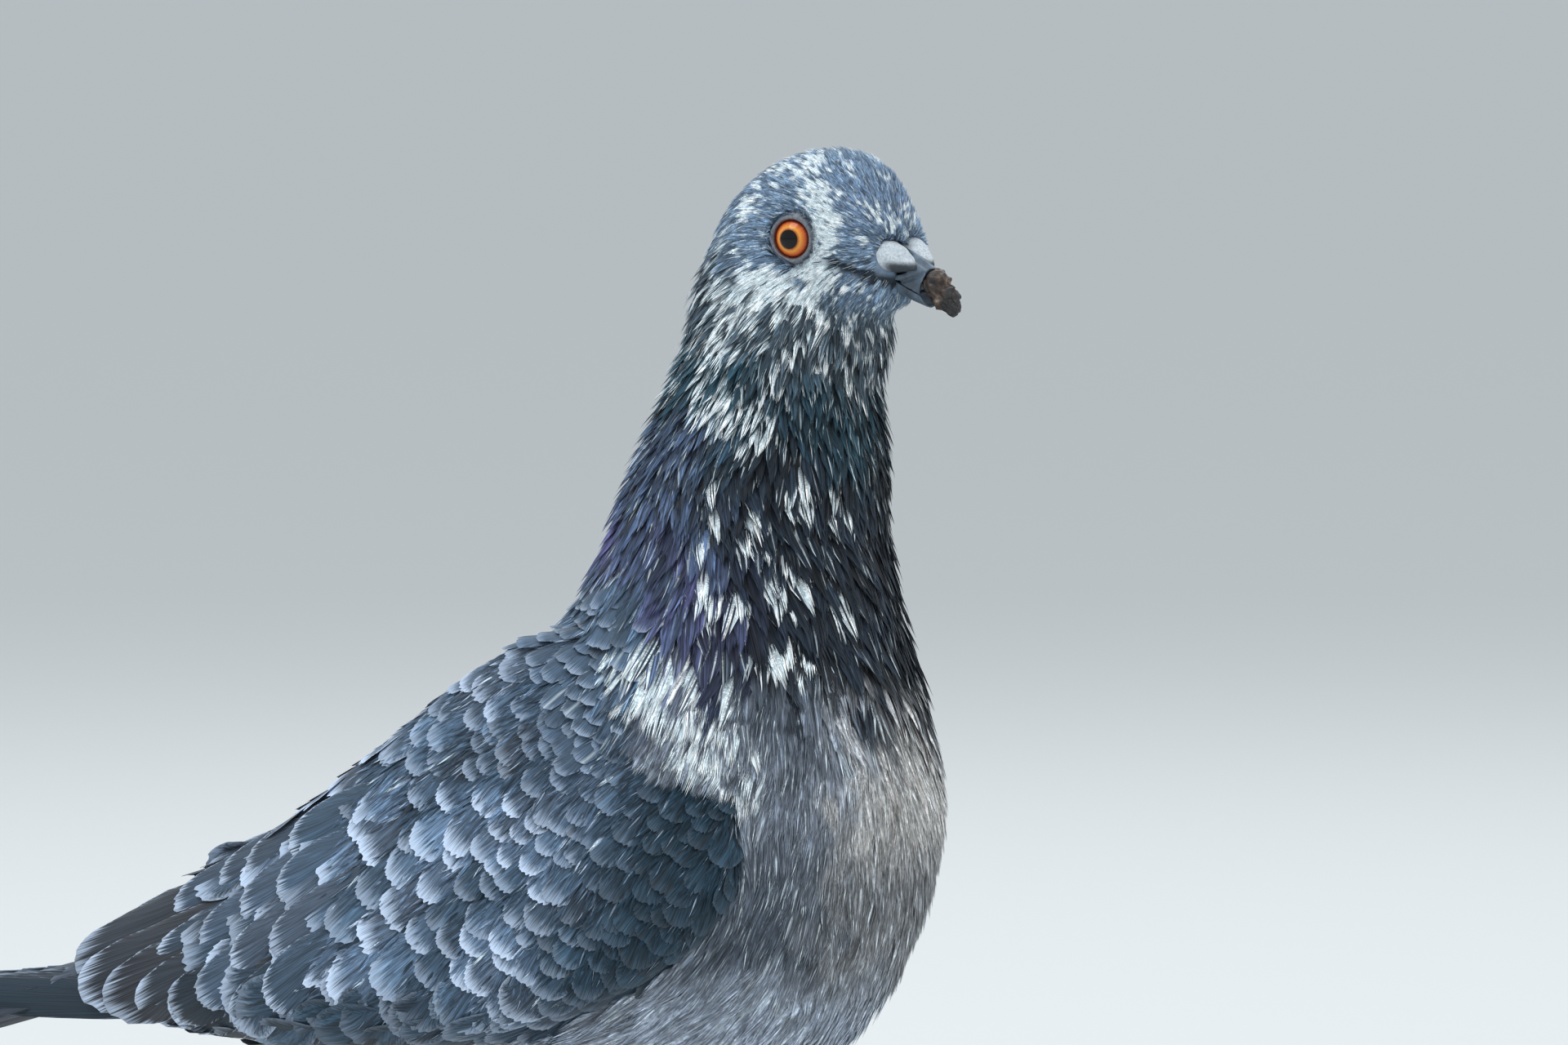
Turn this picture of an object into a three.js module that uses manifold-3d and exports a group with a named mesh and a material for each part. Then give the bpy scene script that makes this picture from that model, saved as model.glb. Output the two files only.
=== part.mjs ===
// A standing pigeon at life size: head turned to its right, wings folded, both feet flat on the floor.
// Millimetres. +X runs towards the breast, +Y to the bird's left and +Z up; the floor is z = 0.
// Each part that a person would name is one closed solid, and neighbours meet across a thin gap.

import * as THREE from "three";
import { mergeVertices } from "three/addons/utils/BufferGeometryUtils.js";
import Module from "manifold-3d";

const wasm = await Module();
wasm.setup();

// ---- Driving dimensions ----

const gap = 0.3; // between neighbours

const headAt = new THREE.Vector3(34, -1, 238); // between the eyes
const headTurn = -18; // degrees about +Z: the head looks to the bird's right
const headRoll = 4; // degrees about the bill's line: the right eye sits lower
const eyeAside = 9.2; // from the middle plane to the eyeball's centre
const eyeRadius = 4.8;

const billRoot = new THREE.Vector3(12.2, 0, -3.7); // the gape, in the head's frame
const billPitch = 25; // degrees below level

const footAt = new THREE.Vector3(-19, 21.5, 0); // under the left ankle
const hockAt = new THREE.Vector3(-31, 20.5, 38);
const toeSpread = 39; // degrees between front toes
const toeRadius = 2.3;
const toeHeight = 1.75; // of its middle line: the underside is flattened on the floor
const clawRadius = 1.45; // at its root
const padRadius = 4.9; // the ball of the foot
const padHeight = 5.4;
const ankleHeight = 4.5;
const shankRadius = 2.3; // at the middle of the scaled leg
const shankFlare = 1.2; // more at both its ends
const toes = {
  inner: { turn: -toeSpread, length: 21, claw: 6.5 },
  middle: { turn: 0, length: 28, claw: 7.5 },
  outer: { turn: toeSpread, length: 22, claw: 6.5 },
  hind: { turn: 176, length: 13, claw: 6.5 },
};

// The feathered thigh from inside the belly down to the hock.
const thighStations = [
  { at: [-8, 19, 86], radius: 16 },
  { at: [-16, 20, 68], radius: 14.5 },
  { at: [-25, 20.5, 52], radius: 9.5 },
  { at: [-31, 20.5, 40], radius: 4.8 },
];

// From the tail root to the top of the neck. Each station is a slanted section: a point on the
// back, one on the belly, and the half width between them.
const trunkStations = [
  { back: [-114, 98], belly: [-110, 88], half: 10 }, // tail root
  { back: [-100, 104], belly: [-92, 80], half: 20 }, // rump
  { back: [-82, 115.5], belly: [-62, 70], half: 28 }, // pelvis
  { back: [-62, 130.5], belly: [-32, 62], half: 34 }, // loins
  { back: [-45, 143.5], belly: [-4, 59.5], half: 37 }, // middle
  { back: [-32, 154.5], belly: [20, 65.5], half: 38.5 },
  { back: [-24, 163], belly: [38, 79], half: 39 }, // shoulders
  { back: [-19.5, 169.5], belly: [49, 98], half: 38.5 },
  { back: [-17, 175.5], belly: [54.3, 118], half: 37 }, // fullest breast
  { back: [-14.5, 181], belly: [53.4, 134], half: 34.5 },
  { back: [-12, 187], belly: [49.6, 148], half: 31.5 }, // crop
  { back: [-9, 193], belly: [45.6, 164], half: 29 },
  { back: [-6.5, 199], belly: [43, 180], half: 26.5 }, // neck base
  { back: [-3.5, 206], belly: [44.3, 193], half: 24 },
  { back: [0, 213.5], belly: [42.4, 205], half: 21.5 }, // mid neck
  { back: [2, 222], belly: [44.5, 213.5], half: 20.2 }, // throat
  { back: [4, 230], belly: [45.5, 222], half: 17.5 },
  { back: [8, 239], belly: [43, 232], half: 12.5 }, // in the head
];
const neckStarts = 9.5; // as a station number
const neckEnds = 15;
const neckStep = 0.04; // of a station, between the neck and its neighbours

// Along the head's own forward axis from the nape to the bill's root, level with the eyes.
const headStations = [
  { at: -30, top: -7, bottom: -12, half: 2 }, // nape
  { at: -28.4, top: 0.5, bottom: -18, half: 9.5 },
  { at: -24, top: 7.5, bottom: -22, half: 13.2 },
  { at: -17, top: 13.2, bottom: -22.5, half: 15.4 },
  { at: -8, top: 16.8, bottom: -21.5, half: 16.2 }, // widest, behind the eyes
  { at: 1, top: 17.8, bottom: -19.5, half: 15.2 }, // crown
  { at: 8, top: 16.8, bottom: -17.3, half: 13.2 },
  { at: 13, top: 13.6, bottom: -15.8, half: 11 }, // forehead
  { at: 16.6, top: 8.6, bottom: -14.6, half: 8.6 },
  { at: 18.8, top: 3, bottom: -13.4, half: 6.2 },
  { at: 20.2, top: -2, bottom: -12, half: 4 }, // feathered edge at the bill
];
const cheekSwell = 0.08; // how much wider the head is below than at the crown
const dishAt = [0.3, 18.6, 0]; // the shallow hollow in the feathers that the eye looks out of
const dishHalf = [8.5, 6.6, 8];

// The left wing, folded, from the wrist back to the tips of the inner quills. Each section hangs
// between a point on the upper edge and one on the lower, swells outwards by bulge and reaches
// inwards by deep, most of which the trunk then cuts away.
const wingStations = [
  { upper: [29, 32, 131], lower: [32, 35, 113], bulge: 4, deep: 3 }, // wrist
  { upper: [20, 26, 145], lower: [25, 36, 101.5], bulge: 9.5, deep: 9 },
  { upper: [5, 19, 155.5], lower: [10, 37.5, 90.5], bulge: 14.5, deep: 12 },
  { upper: [-16, 14, 160.5], lower: [-11, 38, 82], bulge: 17, deep: 14 },
  { upper: [-38, 11, 150], lower: [-34, 36.5, 77], bulge: 17, deep: 14 },
  { upper: [-60, 8, 134.5], lower: [-58, 33, 74.5], bulge: 15.5, deep: 13 },
  { upper: [-84, 5.5, 118], lower: [-84, 27.5, 76], bulge: 11.5, deep: 9 },
  { upper: [-106, 4.5, 106], lower: [-107, 22, 80], bulge: 6.5, deep: 3.6 },
  { upper: [-120, 6, 98.5], lower: [-122, 19, 84], bulge: 3.6, deep: 2 },
  { upper: [-129, 9, 94], lower: [-130.5, 15.5, 88.5], bulge: 1.6, deep: 1 }, // tips
];

// The long outer quills, closed over each other into one blade beside the tail.
const primaryStations = [
  { upper: [-76, 21, 97], lower: [-78, 29, 77], bulge: 2.4, deep: 1.6 },
  { upper: [-104, 18, 96], lower: [-107, 25, 78.5], bulge: 2.2, deep: 1.4 },
  { upper: [-130, 15, 91], lower: [-134, 20.5, 79], bulge: 1.8, deep: 1.2 },
  { upper: [-153, 12, 86.5], lower: [-158, 15.5, 79], bulge: 1.3, deep: 0.9 },
  { upper: [-170, 9, 82.5], lower: [-173, 11, 79], bulge: 0.7, deep: 0.6 }, // wing tip
];

// The closed tail: a thin stack of quills under its coverts, widest and thinnest at the end.
const tailStations = [
  { at: [-106, 92], half: 12, thick: 10 },
  { at: [-130, 86.5], half: 17, thick: 8 },
  { at: [-152, 81.5], half: 20, thick: 5.6 },
  { at: [-176, 76], half: 23.5, thick: 3.8 },
  { at: [-200, 70], half: 26.5, thick: 2.4 },
  { at: [-211, 67.3], half: 26.5, thick: 1.7 },
  { at: [-214, 66.6], half: 23.5, thick: 1.3 }, // rounded end
];
const tailArch = 0.006; // how fast the outer quills drop, per millimetre aside squared

// The bill's halves in its own frame, x along the gape from its corner, z from the gape line.
const upperBill = [
  { at: 0, half: 4.6, tall: 3.6 },
  { at: 5, half: 4.4, tall: 4.4 },
  { at: 9.5, half: 3.5, tall: 4.3 },
  { at: 13, half: 2.9, tall: 4.0 },
  { at: 17, half: 2.6, tall: 3.5 },
];
const lowerBill = [
  { at: 0, half: 4.4, tall: 3.0 },
  { at: 6, half: 3.8, tall: 3.0 },
  { at: 11, half: 3.0, tall: 2.7 },
  { at: 16, half: 2.3, tall: 2.2 },
  { at: 19, half: 1.3, tall: 1.4 },
];
const cereAt = [5.6, 3.0, 3.6]; // one pale lobe over the bill's root
const cereHalf = [5.0, 2.8, 2.9];
const crustLumps = [
  { at: [16.2, 0, 1.4], half: [3.2, 2.9, 3.2] },
  { at: [18.8, 0, 0.1], half: [3.0, 2.5, 3.3] },
  { at: [21.2, 0, -1.1], half: [2.4, 1.7, 2.3] },
];

// ---- Making and joining solids ----

const radians = THREE.MathUtils.degToRad;

// A geometry as a closed manifold-3d solid that faces out.
function closed(geometry) {
  const bare = geometry.clone();
  bare.deleteAttribute("normal");
  bare.deleteAttribute("uv");
  const merged = mergeVertices(bare, 1e-4);
  const corners = Uint32Array.from(merged.index.array);
  const make = () =>
    new wasm.Manifold(
      new wasm.Mesh({
        numProp: 3,
        vertProperties: merged.attributes.position.array,
        triVerts: corners,
      }),
    );
  const solid = make();
  if (solid.volume() > 0) return solid;
  for (let i = 0; i < corners.length; i += 3) {
    [corners[i + 1], corners[i + 2]] = [corners[i + 2], corners[i + 1]];
  }
  return make();
}

// A capped cylinder whose points are moved: place(t, angle, r) takes t from 0 to 1 along it,
// the angle round it and r from 0 on its axis to 1 on its skin.
function form(facesAround, facesAlong, place) {
  const blank = new THREE.CylinderGeometry(1, 1, 1, facesAround, facesAlong);
  const points = blank.attributes.position;
  for (let i = 0; i < points.count; i++) {
    const x = points.getX(i);
    const z = points.getZ(i);
    const at = place(points.getY(i) + 0.5, Math.atan2(z, x), Math.hypot(x, z));
    points.setXYZ(i, at.x, at.y, at.z);
  }
  return closed(blank);
}

// A smooth curve through one triple of values from each station.
function through(stations, triple) {
  const points = stations.map((s) => new THREE.Vector3(...triple(s)));
  return new THREE.CatmullRomCurve3(points, false, "centripetal");
}

// The same solid turned or moved by a matrix.
function placed(solid, matrix) {
  return solid.transform(matrix.elements);
}

function mirrored(solid) {
  return placed(solid, new THREE.Matrix4().makeScale(1, -1, 1));
}

function nodeOf(name, solid, material) {
  const made = solid.getMesh();
  const geometry = new THREE.BufferGeometry();
  geometry.setAttribute("position", new THREE.BufferAttribute(made.vertProperties, 3));
  geometry.setIndex(new THREE.BufferAttribute(made.triVerts, 1));
  geometry.computeVertexNormals();
  const mesh = new THREE.Mesh(geometry, material);
  mesh.name = name;
  return mesh;
}

// The biggest body of a solid that a cut has left in several.
function largest(solid) {
  return solid.decompose().reduce((a, b) => (a.volume() > b.volume() ? a : b));
}

// ---- Trunk and neck ----

const backLine = through(trunkStations, (s) => [s.back[0], s.half, s.back[1]]);
const bellyLine = through(trunkStations, (s) => [s.belly[0], 0, s.belly[1]]);
const lastStation = trunkStations.length - 1;

// The body between two station numbers, swollen by grow.
function body(from, to, facesAlong, grow = 0) {
  return form(24, facesAlong, (t, angle, r) => {
    const share = THREE.MathUtils.lerp(from, to, t) / lastStation;
    const back = backLine.getPoint(share);
    const half = back.y + grow;
    back.setY(0);
    const belly = bellyLine.getPoint(share);
    const middle = back.clone().add(belly).multiplyScalar(0.5);
    const rise = back.sub(belly).multiplyScalar(0.5);
    rise.setLength(rise.length() + grow);
    middle.addScaledVector(rise, Math.cos(angle) * r);
    return middle.setY(Math.sin(angle) * r * half);
  });
}

// ---- Head ----

const headFrame = new THREE.Matrix4()
  .makeTranslation(headAt.x, headAt.y, headAt.z)
  .multiply(new THREE.Matrix4().makeRotationZ(radians(headTurn)))
  .multiply(new THREE.Matrix4().makeRotationX(radians(headRoll)));
const billFrame = headFrame
  .clone()
  .multiply(new THREE.Matrix4().makeTranslation(billRoot.x, billRoot.y, billRoot.z))
  .multiply(new THREE.Matrix4().makeRotationY(radians(billPitch)));

const headHeights = through(headStations, (s) => [s.top, s.bottom, 0]);
const headWidths = through(headStations, (s) => [s.at, s.half, 0]);

function skull(grow = 0) {
  return placed(
    form(20, 12, (t, angle, r) => {
      const heights = headHeights.getPoint(t);
      const widths = headWidths.getPoint(t);
      const tall = (heights.x - heights.y) / 2 + grow;
      const cheek = 1 - cheekSwell * Math.cos(angle);
      return new THREE.Vector3(
        widths.x + (t - 0.5) * 2 * grow,
        Math.sin(angle) * r * (widths.y + grow) * cheek,
        (heights.x + heights.y) / 2 + Math.cos(angle) * r * tall,
      );
    }),
    headFrame,
  );
}

// An ellipsoid: centre and half sizes in a frame.
function egg(frame, centre, half, faces) {
  const ball = new THREE.SphereGeometry(1, faces, Math.round(faces * 0.6));
  ball.scale(...half).translate(...centre).applyMatrix4(frame);
  return closed(ball);
}

function eye(side, grow = 0) {
  const r = eyeRadius + grow;
  return egg(headFrame, [0, side * eyeAside, 0], [r, r, r], 11);
}

function eyeDish(side) {
  return egg(headFrame, [dishAt[0], side * dishAt[1], dishAt[2]], dishHalf, 10);
}

// One half of the bill: a half-round bar between the gape line and the stations' height.
function billHalf(stations, sign, grow = 0) {
  const sizes = through(stations, (s) => [s.at, s.half, s.tall]);
  const bar = form(12, 5, (t, angle, r) => {
    const size = sizes.getPoint(t);
    const rise = Math.max(Math.cos(angle), 0) * (size.z + grow) * r;
    const fromGape = gap / 2 - Math.min(grow, 0.1) + rise;
    return new THREE.Vector3(
      size.x,
      Math.sin(angle) * r * (size.y + grow),
      sign * fromGape,
    );
  });
  return placed(bar, billFrame);
}

// A dry brown crust that has grown over the tip of the bill.
function crust(grow = 0) {
  const made = crustLumps.map((lump) => {
    const half = lump.half.map((h) => h + grow);
    return egg(billFrame, lump.at, half, 9);
  });
  return made.reduce((a, b) => a.add(b));
}

// The pale swollen lobe on one side of the bill's root.
function cere(side, grow = 0) {
  const half = cereHalf.map((h) => h + grow);
  return egg(billFrame, [cereAt[0], side * cereAt[1], cereAt[2]], half, 10);
}

// ---- Wings and tail ----

// A folded feather blade through stations of upper and lower edge, on the left side. A square
// above 1 makes its sections fuller at the edges than an ellipse.
function blade(stations, facesAround, facesAlong, square, grow = 0) {
  const uppers = through(stations, (s) => s.upper);
  const lowers = through(stations, (s) => s.lower);
  const sizes = through(stations, (s) => [s.bulge, s.deep, 0]);
  const full = (wave) => Math.sign(wave) * Math.abs(wave) ** (1 / square);
  return form(facesAround, facesAlong, (t, angle, r) => {
    const upper = uppers.getPoint(t);
    const lower = lowers.getPoint(t);
    const size = sizes.getPoint(t);
    const rise = upper.clone().sub(lower).multiplyScalar(0.5);
    const side = new THREE.Vector3(0, 1, 0);
    side.addScaledVector(rise, -side.dot(rise) / rise.lengthSq()).normalize();
    rise.setLength(rise.length() + grow);
    const wave = full(Math.sin(angle));
    const out = wave * r * ((wave > 0 ? size.x : size.y) + grow);
    return upper
      .add(lower)
      .multiplyScalar(0.5)
      .addScaledVector(rise, full(Math.cos(angle)) * r)
      .addScaledVector(side, out);
  });
}

const wingBlade = (grow) => blade(wingStations, 18, 13, 1.6, grow);
const primaryBlade = (grow) => blade(primaryStations, 10, 6, 1, grow);

function tailBlade(grow = 0) {
  const line = through(tailStations, (s) => [s.at[0], s.half, s.at[1]]);
  const thickness = through(tailStations, (s) => [s.thick, 0, 0]);
  return form(14, 7, (t, angle, r) => {
    const at = line.getPoint(t);
    const thick = thickness.getPoint(t).x / 2 + grow;
    const out = Math.sin(angle) * r * (at.y + grow);
    const drop = tailArch * out * out;
    return new THREE.Vector3(at.x, out, at.z - drop + Math.cos(angle) * r * thick);
  });
}

// ---- Legs and feet, made for the left side and mirrored ----

// A tube along a path with a radius at each share of its length, flattened where it would pass
// below the floor. Its sides stay level.
function limb(points, radius, facesAround, facesAlong) {
  const path = new THREE.CatmullRomCurve3(points);
  return form(facesAround, facesAlong, (t, angle, r) => {
    const at = path.getPoint(t);
    const ahead = path.getTangent(t);
    const level = new THREE.Vector3(-ahead.y, ahead.x, 0).normalize();
    const up = level.clone().cross(ahead).negate();
    at.addScaledVector(level, Math.sin(angle) * r * radius(t));
    at.addScaledVector(up, Math.cos(angle) * r * radius(t));
    return at.setZ(Math.max(at.z, 0));
  });
}

function thigh() {
  const points = thighStations.map((s) => new THREE.Vector3(...s.at));
  const sizes = through(thighStations, (s) => [s.radius, 0, 0]);
  return limb(points, (t) => sizes.getPoint(t).x, 12, 6);
}

// The scaled leg with the ball of the foot, whose underside is a flat sole on the floor.
function tarsus(grow = 0) {
  const ankle = footAt.clone().setZ(ankleHeight);
  const points = [hockAt, hockAt.clone().lerp(ankle, 0.5), ankle];
  const flare = (t) => shankFlare * (2 * t - 1) ** 4;
  const shank = limb(points, (t) => shankRadius + flare(t) + grow, 10, 6);
  const pad = new THREE.SphereGeometry(1, 12, 6).rotateX(Math.PI / 2);
  pad.scale(padRadius + grow, padRadius + grow, padHeight + grow);
  pad.translate(footAt.x, footAt.y, 0);
  const corners = pad.attributes.position;
  for (let i = 0; i < corners.count; i++) {
    corners.setZ(i, Math.max(corners.getZ(i), 0));
  }
  return shank.add(closed(pad));
}

// A point on a toe's line, s millimetres out from the ankle and z above the floor.
function toePoint(toe, s, z) {
  const turn = radians(toe.turn);
  const aside = footAt.y + s * Math.sin(turn);
  return new THREE.Vector3(footAt.x + s * Math.cos(turn), aside, z);
}

// A toe, with a faint waist between each pair of the pads under it.
function toeSolid(toe, grow = 0) {
  const points = [1, 0.4 * toe.length, 0.75 * toe.length, toe.length];
  const pads = Math.round(toe.length / 7);
  const waist = (t) => 0.2 * Math.cos(2 * Math.PI * pads * t);
  const line = points.map((s) => toePoint(toe, s, toeHeight));
  return limb(line, (t) => toeRadius - 0.4 * t - waist(t) + grow, 8, 6);
}

function clawSolid(toe) {
  const points = [
    toePoint(toe, toe.length + gap, 2.1),
    toePoint(toe, toe.length + 0.5 * toe.claw, 2.5),
    toePoint(toe, toe.length + 0.85 * toe.claw, 1.6),
    toePoint(toe, toe.length + toe.claw, 0.6),
  ];
  return limb(points, (t) => clawRadius - t, 6, 4);
}

// ---- Colours ----

const finish = (color, roughness) =>
  new THREE.MeshStandardMaterial({ color, roughness, metalness: 0 });
const slate = finish(0x5d6b7c, 0.75);
const darkNeck = finish(0x39404f, 0.6);
const paleHead = finish(0x8b9aab, 0.75);
const scaledWing = finish(0x566274, 0.7);
const tailGrey = finish(0x4a5563, 0.7);
const legRed = finish(0xa8504f, 0.55);
const clawBlack = finish(0x2a2725, 0.4);
const billGrey = finish(0x4d5866, 0.45);
const cereWhite = finish(0xc9d2d8, 0.9);
const crustBrown = finish(0x5b4436, 0.85);
const eyeOrange = finish(0xd0622a, 0.1);

// ---- Assembly ----

const bird = new THREE.Group();
const put = (name, solid, material) => bird.add(nodeOf(name, largest(solid), material));
const cutBy = (solid, tools) => tools.reduce((left, tool) => left.subtract(tool), solid);
const sides = { left: 1, right: -1 };

// Everything beyond the middle plane of a frame, so that a left or right solid stops short of it.
function beyondMiddle(side, frame) {
  const block = new THREE.BoxGeometry(600, 300, 600);
  block.translate(0, -side * (150 - gap / 2), 0).applyMatrix4(frame);
  return closed(block);
}

const trunkGrown = body(0, neckStarts, 18, gap);
const ceres = cere(1, gap).add(cere(-1, gap));
const bill = billHalf(upperBill, 1, gap).add(billHalf(lowerBill, -1, gap));
const inHead = [eye(1, gap), eye(-1, gap), eyeDish(1), eyeDish(-1), bill, ceres];
const nape = body(neckEnds + neckStep, lastStation, 3);
const throat = body(neckStarts + neckStep, neckEnds, 7);

put("trunk", body(0, neckStarts, 18), slate);
put("neck", throat.subtract(skull(gap)), darkNeck);
put("head", cutBy(skull().add(nape), inHead), paleHead);
put("bill_upper", cutBy(billHalf(upperBill, 1), [crust(gap), ceres]), billGrey);
put("bill_lower", cutBy(billHalf(lowerBill, -1), [crust(gap)]), billGrey);
put("bill_crust", crust(), crustBrown);

const wingGrown = wingBlade(gap);
const wing = wingBlade(0).subtract(trunkGrown);
const primaries = cutBy(primaryBlade(0), [wingGrown, trunkGrown]);
const leg = cutBy(thigh(), [trunkGrown, wingGrown, tarsus(gap)]);
const besideTail = [primaryBlade(gap), wingGrown].flatMap((s) => [s, mirrored(s)]);
put("tail", cutBy(tailBlade(), [trunkGrown, ...besideTail]), tailGrey);

for (const [name, side] of Object.entries(sides)) {
  const onSide = (solid) => (side > 0 ? solid : mirrored(solid));
  const beyond = beyondMiddle(side, new THREE.Matrix4());
  put(`eye_${name}`, eye(side), eyeOrange);
  put(`cere_${name}`, cere(side).subtract(beyondMiddle(side, billFrame)), cereWhite);
  put(`wing_${name}`, onSide(wing).subtract(beyond), scaledWing);
  put(`primaries_${name}`, onSide(primaries).subtract(beyond), tailGrey);
  put(`thigh_${name}`, onSide(leg), slate);
  put(`tarsus_${name}`, onSide(tarsus()), legRed);
  for (const [toeName, toe] of Object.entries(toes)) {
    const beside = toe === toes.middle ? [] : [toeSolid(toes.middle, gap)];
    const toeLeft = cutBy(toeSolid(toe), [tarsus(gap), ...beside]);
    put(`toe_${toeName}_${name}`, onSide(toeLeft), legRed);
    put(`claw_${toeName}_${name}`, onSide(clawSolid(toe)), clawBlack);
  }
}

// The origin is the middle of the bird's box, on the floor.
const box = new THREE.Box3().setFromObject(bird);
const middle = box.getCenter(new THREE.Vector3());
bird.position.set(-middle.x, -middle.y, -box.min.z);

export default new THREE.Group().add(bird);
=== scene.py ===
"""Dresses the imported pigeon: skin, feathers, eyes, bill and feet, and the stage under it."""

import math
from contextlib import contextmanager
from types import SimpleNamespace

import bmesh
import bpy
import numpy as np
from bpy.props import FloatProperty, FloatVectorProperty, IntProperty, PointerProperty
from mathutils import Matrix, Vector
from mathutils.bvhtree import BVHTree


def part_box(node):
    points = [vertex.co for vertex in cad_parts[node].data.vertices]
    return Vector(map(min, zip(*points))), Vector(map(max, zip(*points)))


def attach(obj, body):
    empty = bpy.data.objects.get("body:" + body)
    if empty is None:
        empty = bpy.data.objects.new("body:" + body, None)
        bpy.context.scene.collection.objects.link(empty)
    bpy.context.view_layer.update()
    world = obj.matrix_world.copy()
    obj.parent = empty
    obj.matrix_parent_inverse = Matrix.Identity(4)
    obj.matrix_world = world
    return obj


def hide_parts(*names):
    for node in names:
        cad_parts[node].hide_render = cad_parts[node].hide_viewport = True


bl_info = {
    "name": "Standing pigeon",
    "version": (1, 0, 0),
    "blender": (4, 5, 0),
    "location": "View3D > Sidebar > Pigeon",
    "description": "Skin, feathers, eyes, bill and feet around a packed pigeon",
    "category": "Object",
}

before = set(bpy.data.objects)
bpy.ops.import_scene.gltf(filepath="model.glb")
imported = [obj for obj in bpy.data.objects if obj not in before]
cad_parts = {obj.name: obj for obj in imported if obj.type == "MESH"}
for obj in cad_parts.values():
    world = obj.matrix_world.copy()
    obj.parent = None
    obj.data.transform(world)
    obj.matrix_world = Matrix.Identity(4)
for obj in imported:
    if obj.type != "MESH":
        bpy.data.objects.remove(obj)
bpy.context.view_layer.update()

MM = 0.001  # metres; everything below is worked out in millimetres
SIDES = {"left": 1, "right": -1}
TOES = ("inner", "middle", "outer", "hind")
BARE = [f"tarsus_{side}" for side in SIDES]
BARE += [f"toe_{toe}_{side}" for toe in TOES for side in SIDES]
FEATHERED = ["head", "neck", "trunk"]
FEATHERED += [f"{part}_{side}" for part in ("wing", "thigh") for side in SIDES]


# ---- Vectors and curves ----


def unit(vectors):
    """The same directions at length 1."""
    sizes = np.linalg.norm(vectors, axis=-1, keepdims=True)
    return vectors / np.maximum(sizes, 1e-9)


def norms(vectors):
    return np.linalg.norm(vectors, axis=1)


def ease(low, high, values):
    """0 below low, 1 above high and smooth between."""
    share = np.clip((np.asarray(values, float) - low) / (high - low), 0, 1)
    return share * share * (3 - 2 * share)


def between(a, b, share):
    """The values at a share of the way from a to b."""
    return a * (1 - share) + b * share


def blend(a, b, share):
    """Rows of colours or directions from a to b, with one share for each row."""
    return between(a, b, np.asarray(share, float)[..., None])


def smooth_line(points, at):
    """Points of a smooth curve through the given ones, at places counted in their spacing."""
    points = np.array(points, float)
    ends = np.vstack([2 * points[0] - points[1], points, 2 * points[-1] - points[-2]])
    at = np.clip(np.asarray(at, float), 0, len(points) - 1)
    first = np.minimum(at.astype(int), len(points) - 2)
    f = (at - first)[..., None]
    a, b, c, d = (ends[first + k] for k in range(4))
    bend = (2 * a - 5 * b + 4 * c - d) * f**2 + (3 * b - a - 3 * c + d) * f**3
    return 0.5 * (2 * b + (c - a) * f + bend)


def mottle(points, size, seed):
    """Smooth noise from about -1 to 1 whose blotches are about the given size."""
    rng = np.random.default_rng(seed)
    waves = unit(rng.normal(size=(9, 3))) * (2 * math.pi / size)
    waves *= rng.uniform(0.6, 1.5, size=(9, 1))
    turns = points @ waves.T + rng.uniform(0, 2 * math.pi, size=9)
    return np.sin(turns).sum(axis=1) / 3.2


# ---- Landmarks, in the frame's millimetres ----


def middle_of(node):
    low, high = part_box(node)
    return (np.array(low) + np.array(high)) / 2 / MM


SOCKETS = {side: middle_of(f"eye_{side}") for side in SIDES}
EYE_RADIUS = (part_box("eye_left")[1].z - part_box("eye_left")[0].z) / 2 / MM
HEAD_MIDDLE = (SOCKETS["left"] + SOCKETS["right"]) / 2
HEAD_LEFT = unit(SOCKETS["left"] - SOCKETS["right"])
HEAD_FORWARD = unit(np.cross(HEAD_LEFT, (0, 0, 1)))
HEAD_UP = np.cross(HEAD_FORWARD, HEAD_LEFT)
HEAD_AXES = np.array([HEAD_FORWARD, HEAD_LEFT, HEAD_UP])
# Each eye looks a little forward and stands a little out of its socket.
SIGHTS = {side: unit(HEAD_LEFT * sign + HEAD_FORWARD * 0.3) for side, sign in SIDES.items()}
EYES = {side: SOCKETS[side] + SIGHTS[side] * 1.1 + HEAD_UP * 0.4 for side in SIDES}

BILL_ROOT = np.array([12.2, 0, -3.7])  # the gape, in the head's own axes
BILL_PITCH = math.radians(25)
GAPE_DROP = 1.5  # how far the mouth's line runs below the bill's own middle
BILL_AXES = np.array(
    [
        [math.cos(BILL_PITCH), 0, -math.sin(BILL_PITCH)],
        [0, 1, 0],
        [math.sin(BILL_PITCH), 0, math.cos(BILL_PITCH)],
    ]
)

# The body's own zero is ahead of its tail root by this much, as in the solids' source.
TAIL_ROOT = 114
BODY_ZERO = np.array([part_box("trunk")[0].x / MM + TAIL_ROOT, 0, 0])

# Where feathers run: one line down the back and one down the front, from the bill to the tail,
# as x and z of the body. A straight section joins each pair of points.
BACK_LINE = [
    (53, 238), (49, 247), (36, 255), (18, 250), (4, 230), (0, 213.5), (-6.5, 199), (-14.5, 181),
    (-24, 163), (-45, 143.5), (-82, 115.5), (-114, 98),
]
FRONT_LINE = [
    (54, 232), (53, 228), (49.5, 224.5), (47.5, 222.5), (45.5, 221), (42.4, 205), (43, 180),
    (53.4, 134), (38, 79), (-4, 59.5), (-62, 70), (-110, 88),
]


def in_head(points):
    """Forward, left and up of the middle between the eyes."""
    return (points - HEAD_MIDDLE) @ HEAD_AXES.T


def from_head(points):
    return np.asarray(points, float) @ HEAD_AXES + HEAD_MIDDLE


def in_bill(points):
    """Along the gape from its corner, to the left, and up from the gape line."""
    return (in_head(points) - BILL_ROOT) @ BILL_AXES.T


def from_bill(points):
    return from_head(points @ BILL_AXES + BILL_ROOT)


def in_body(points):
    return points - BODY_ZERO


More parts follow.
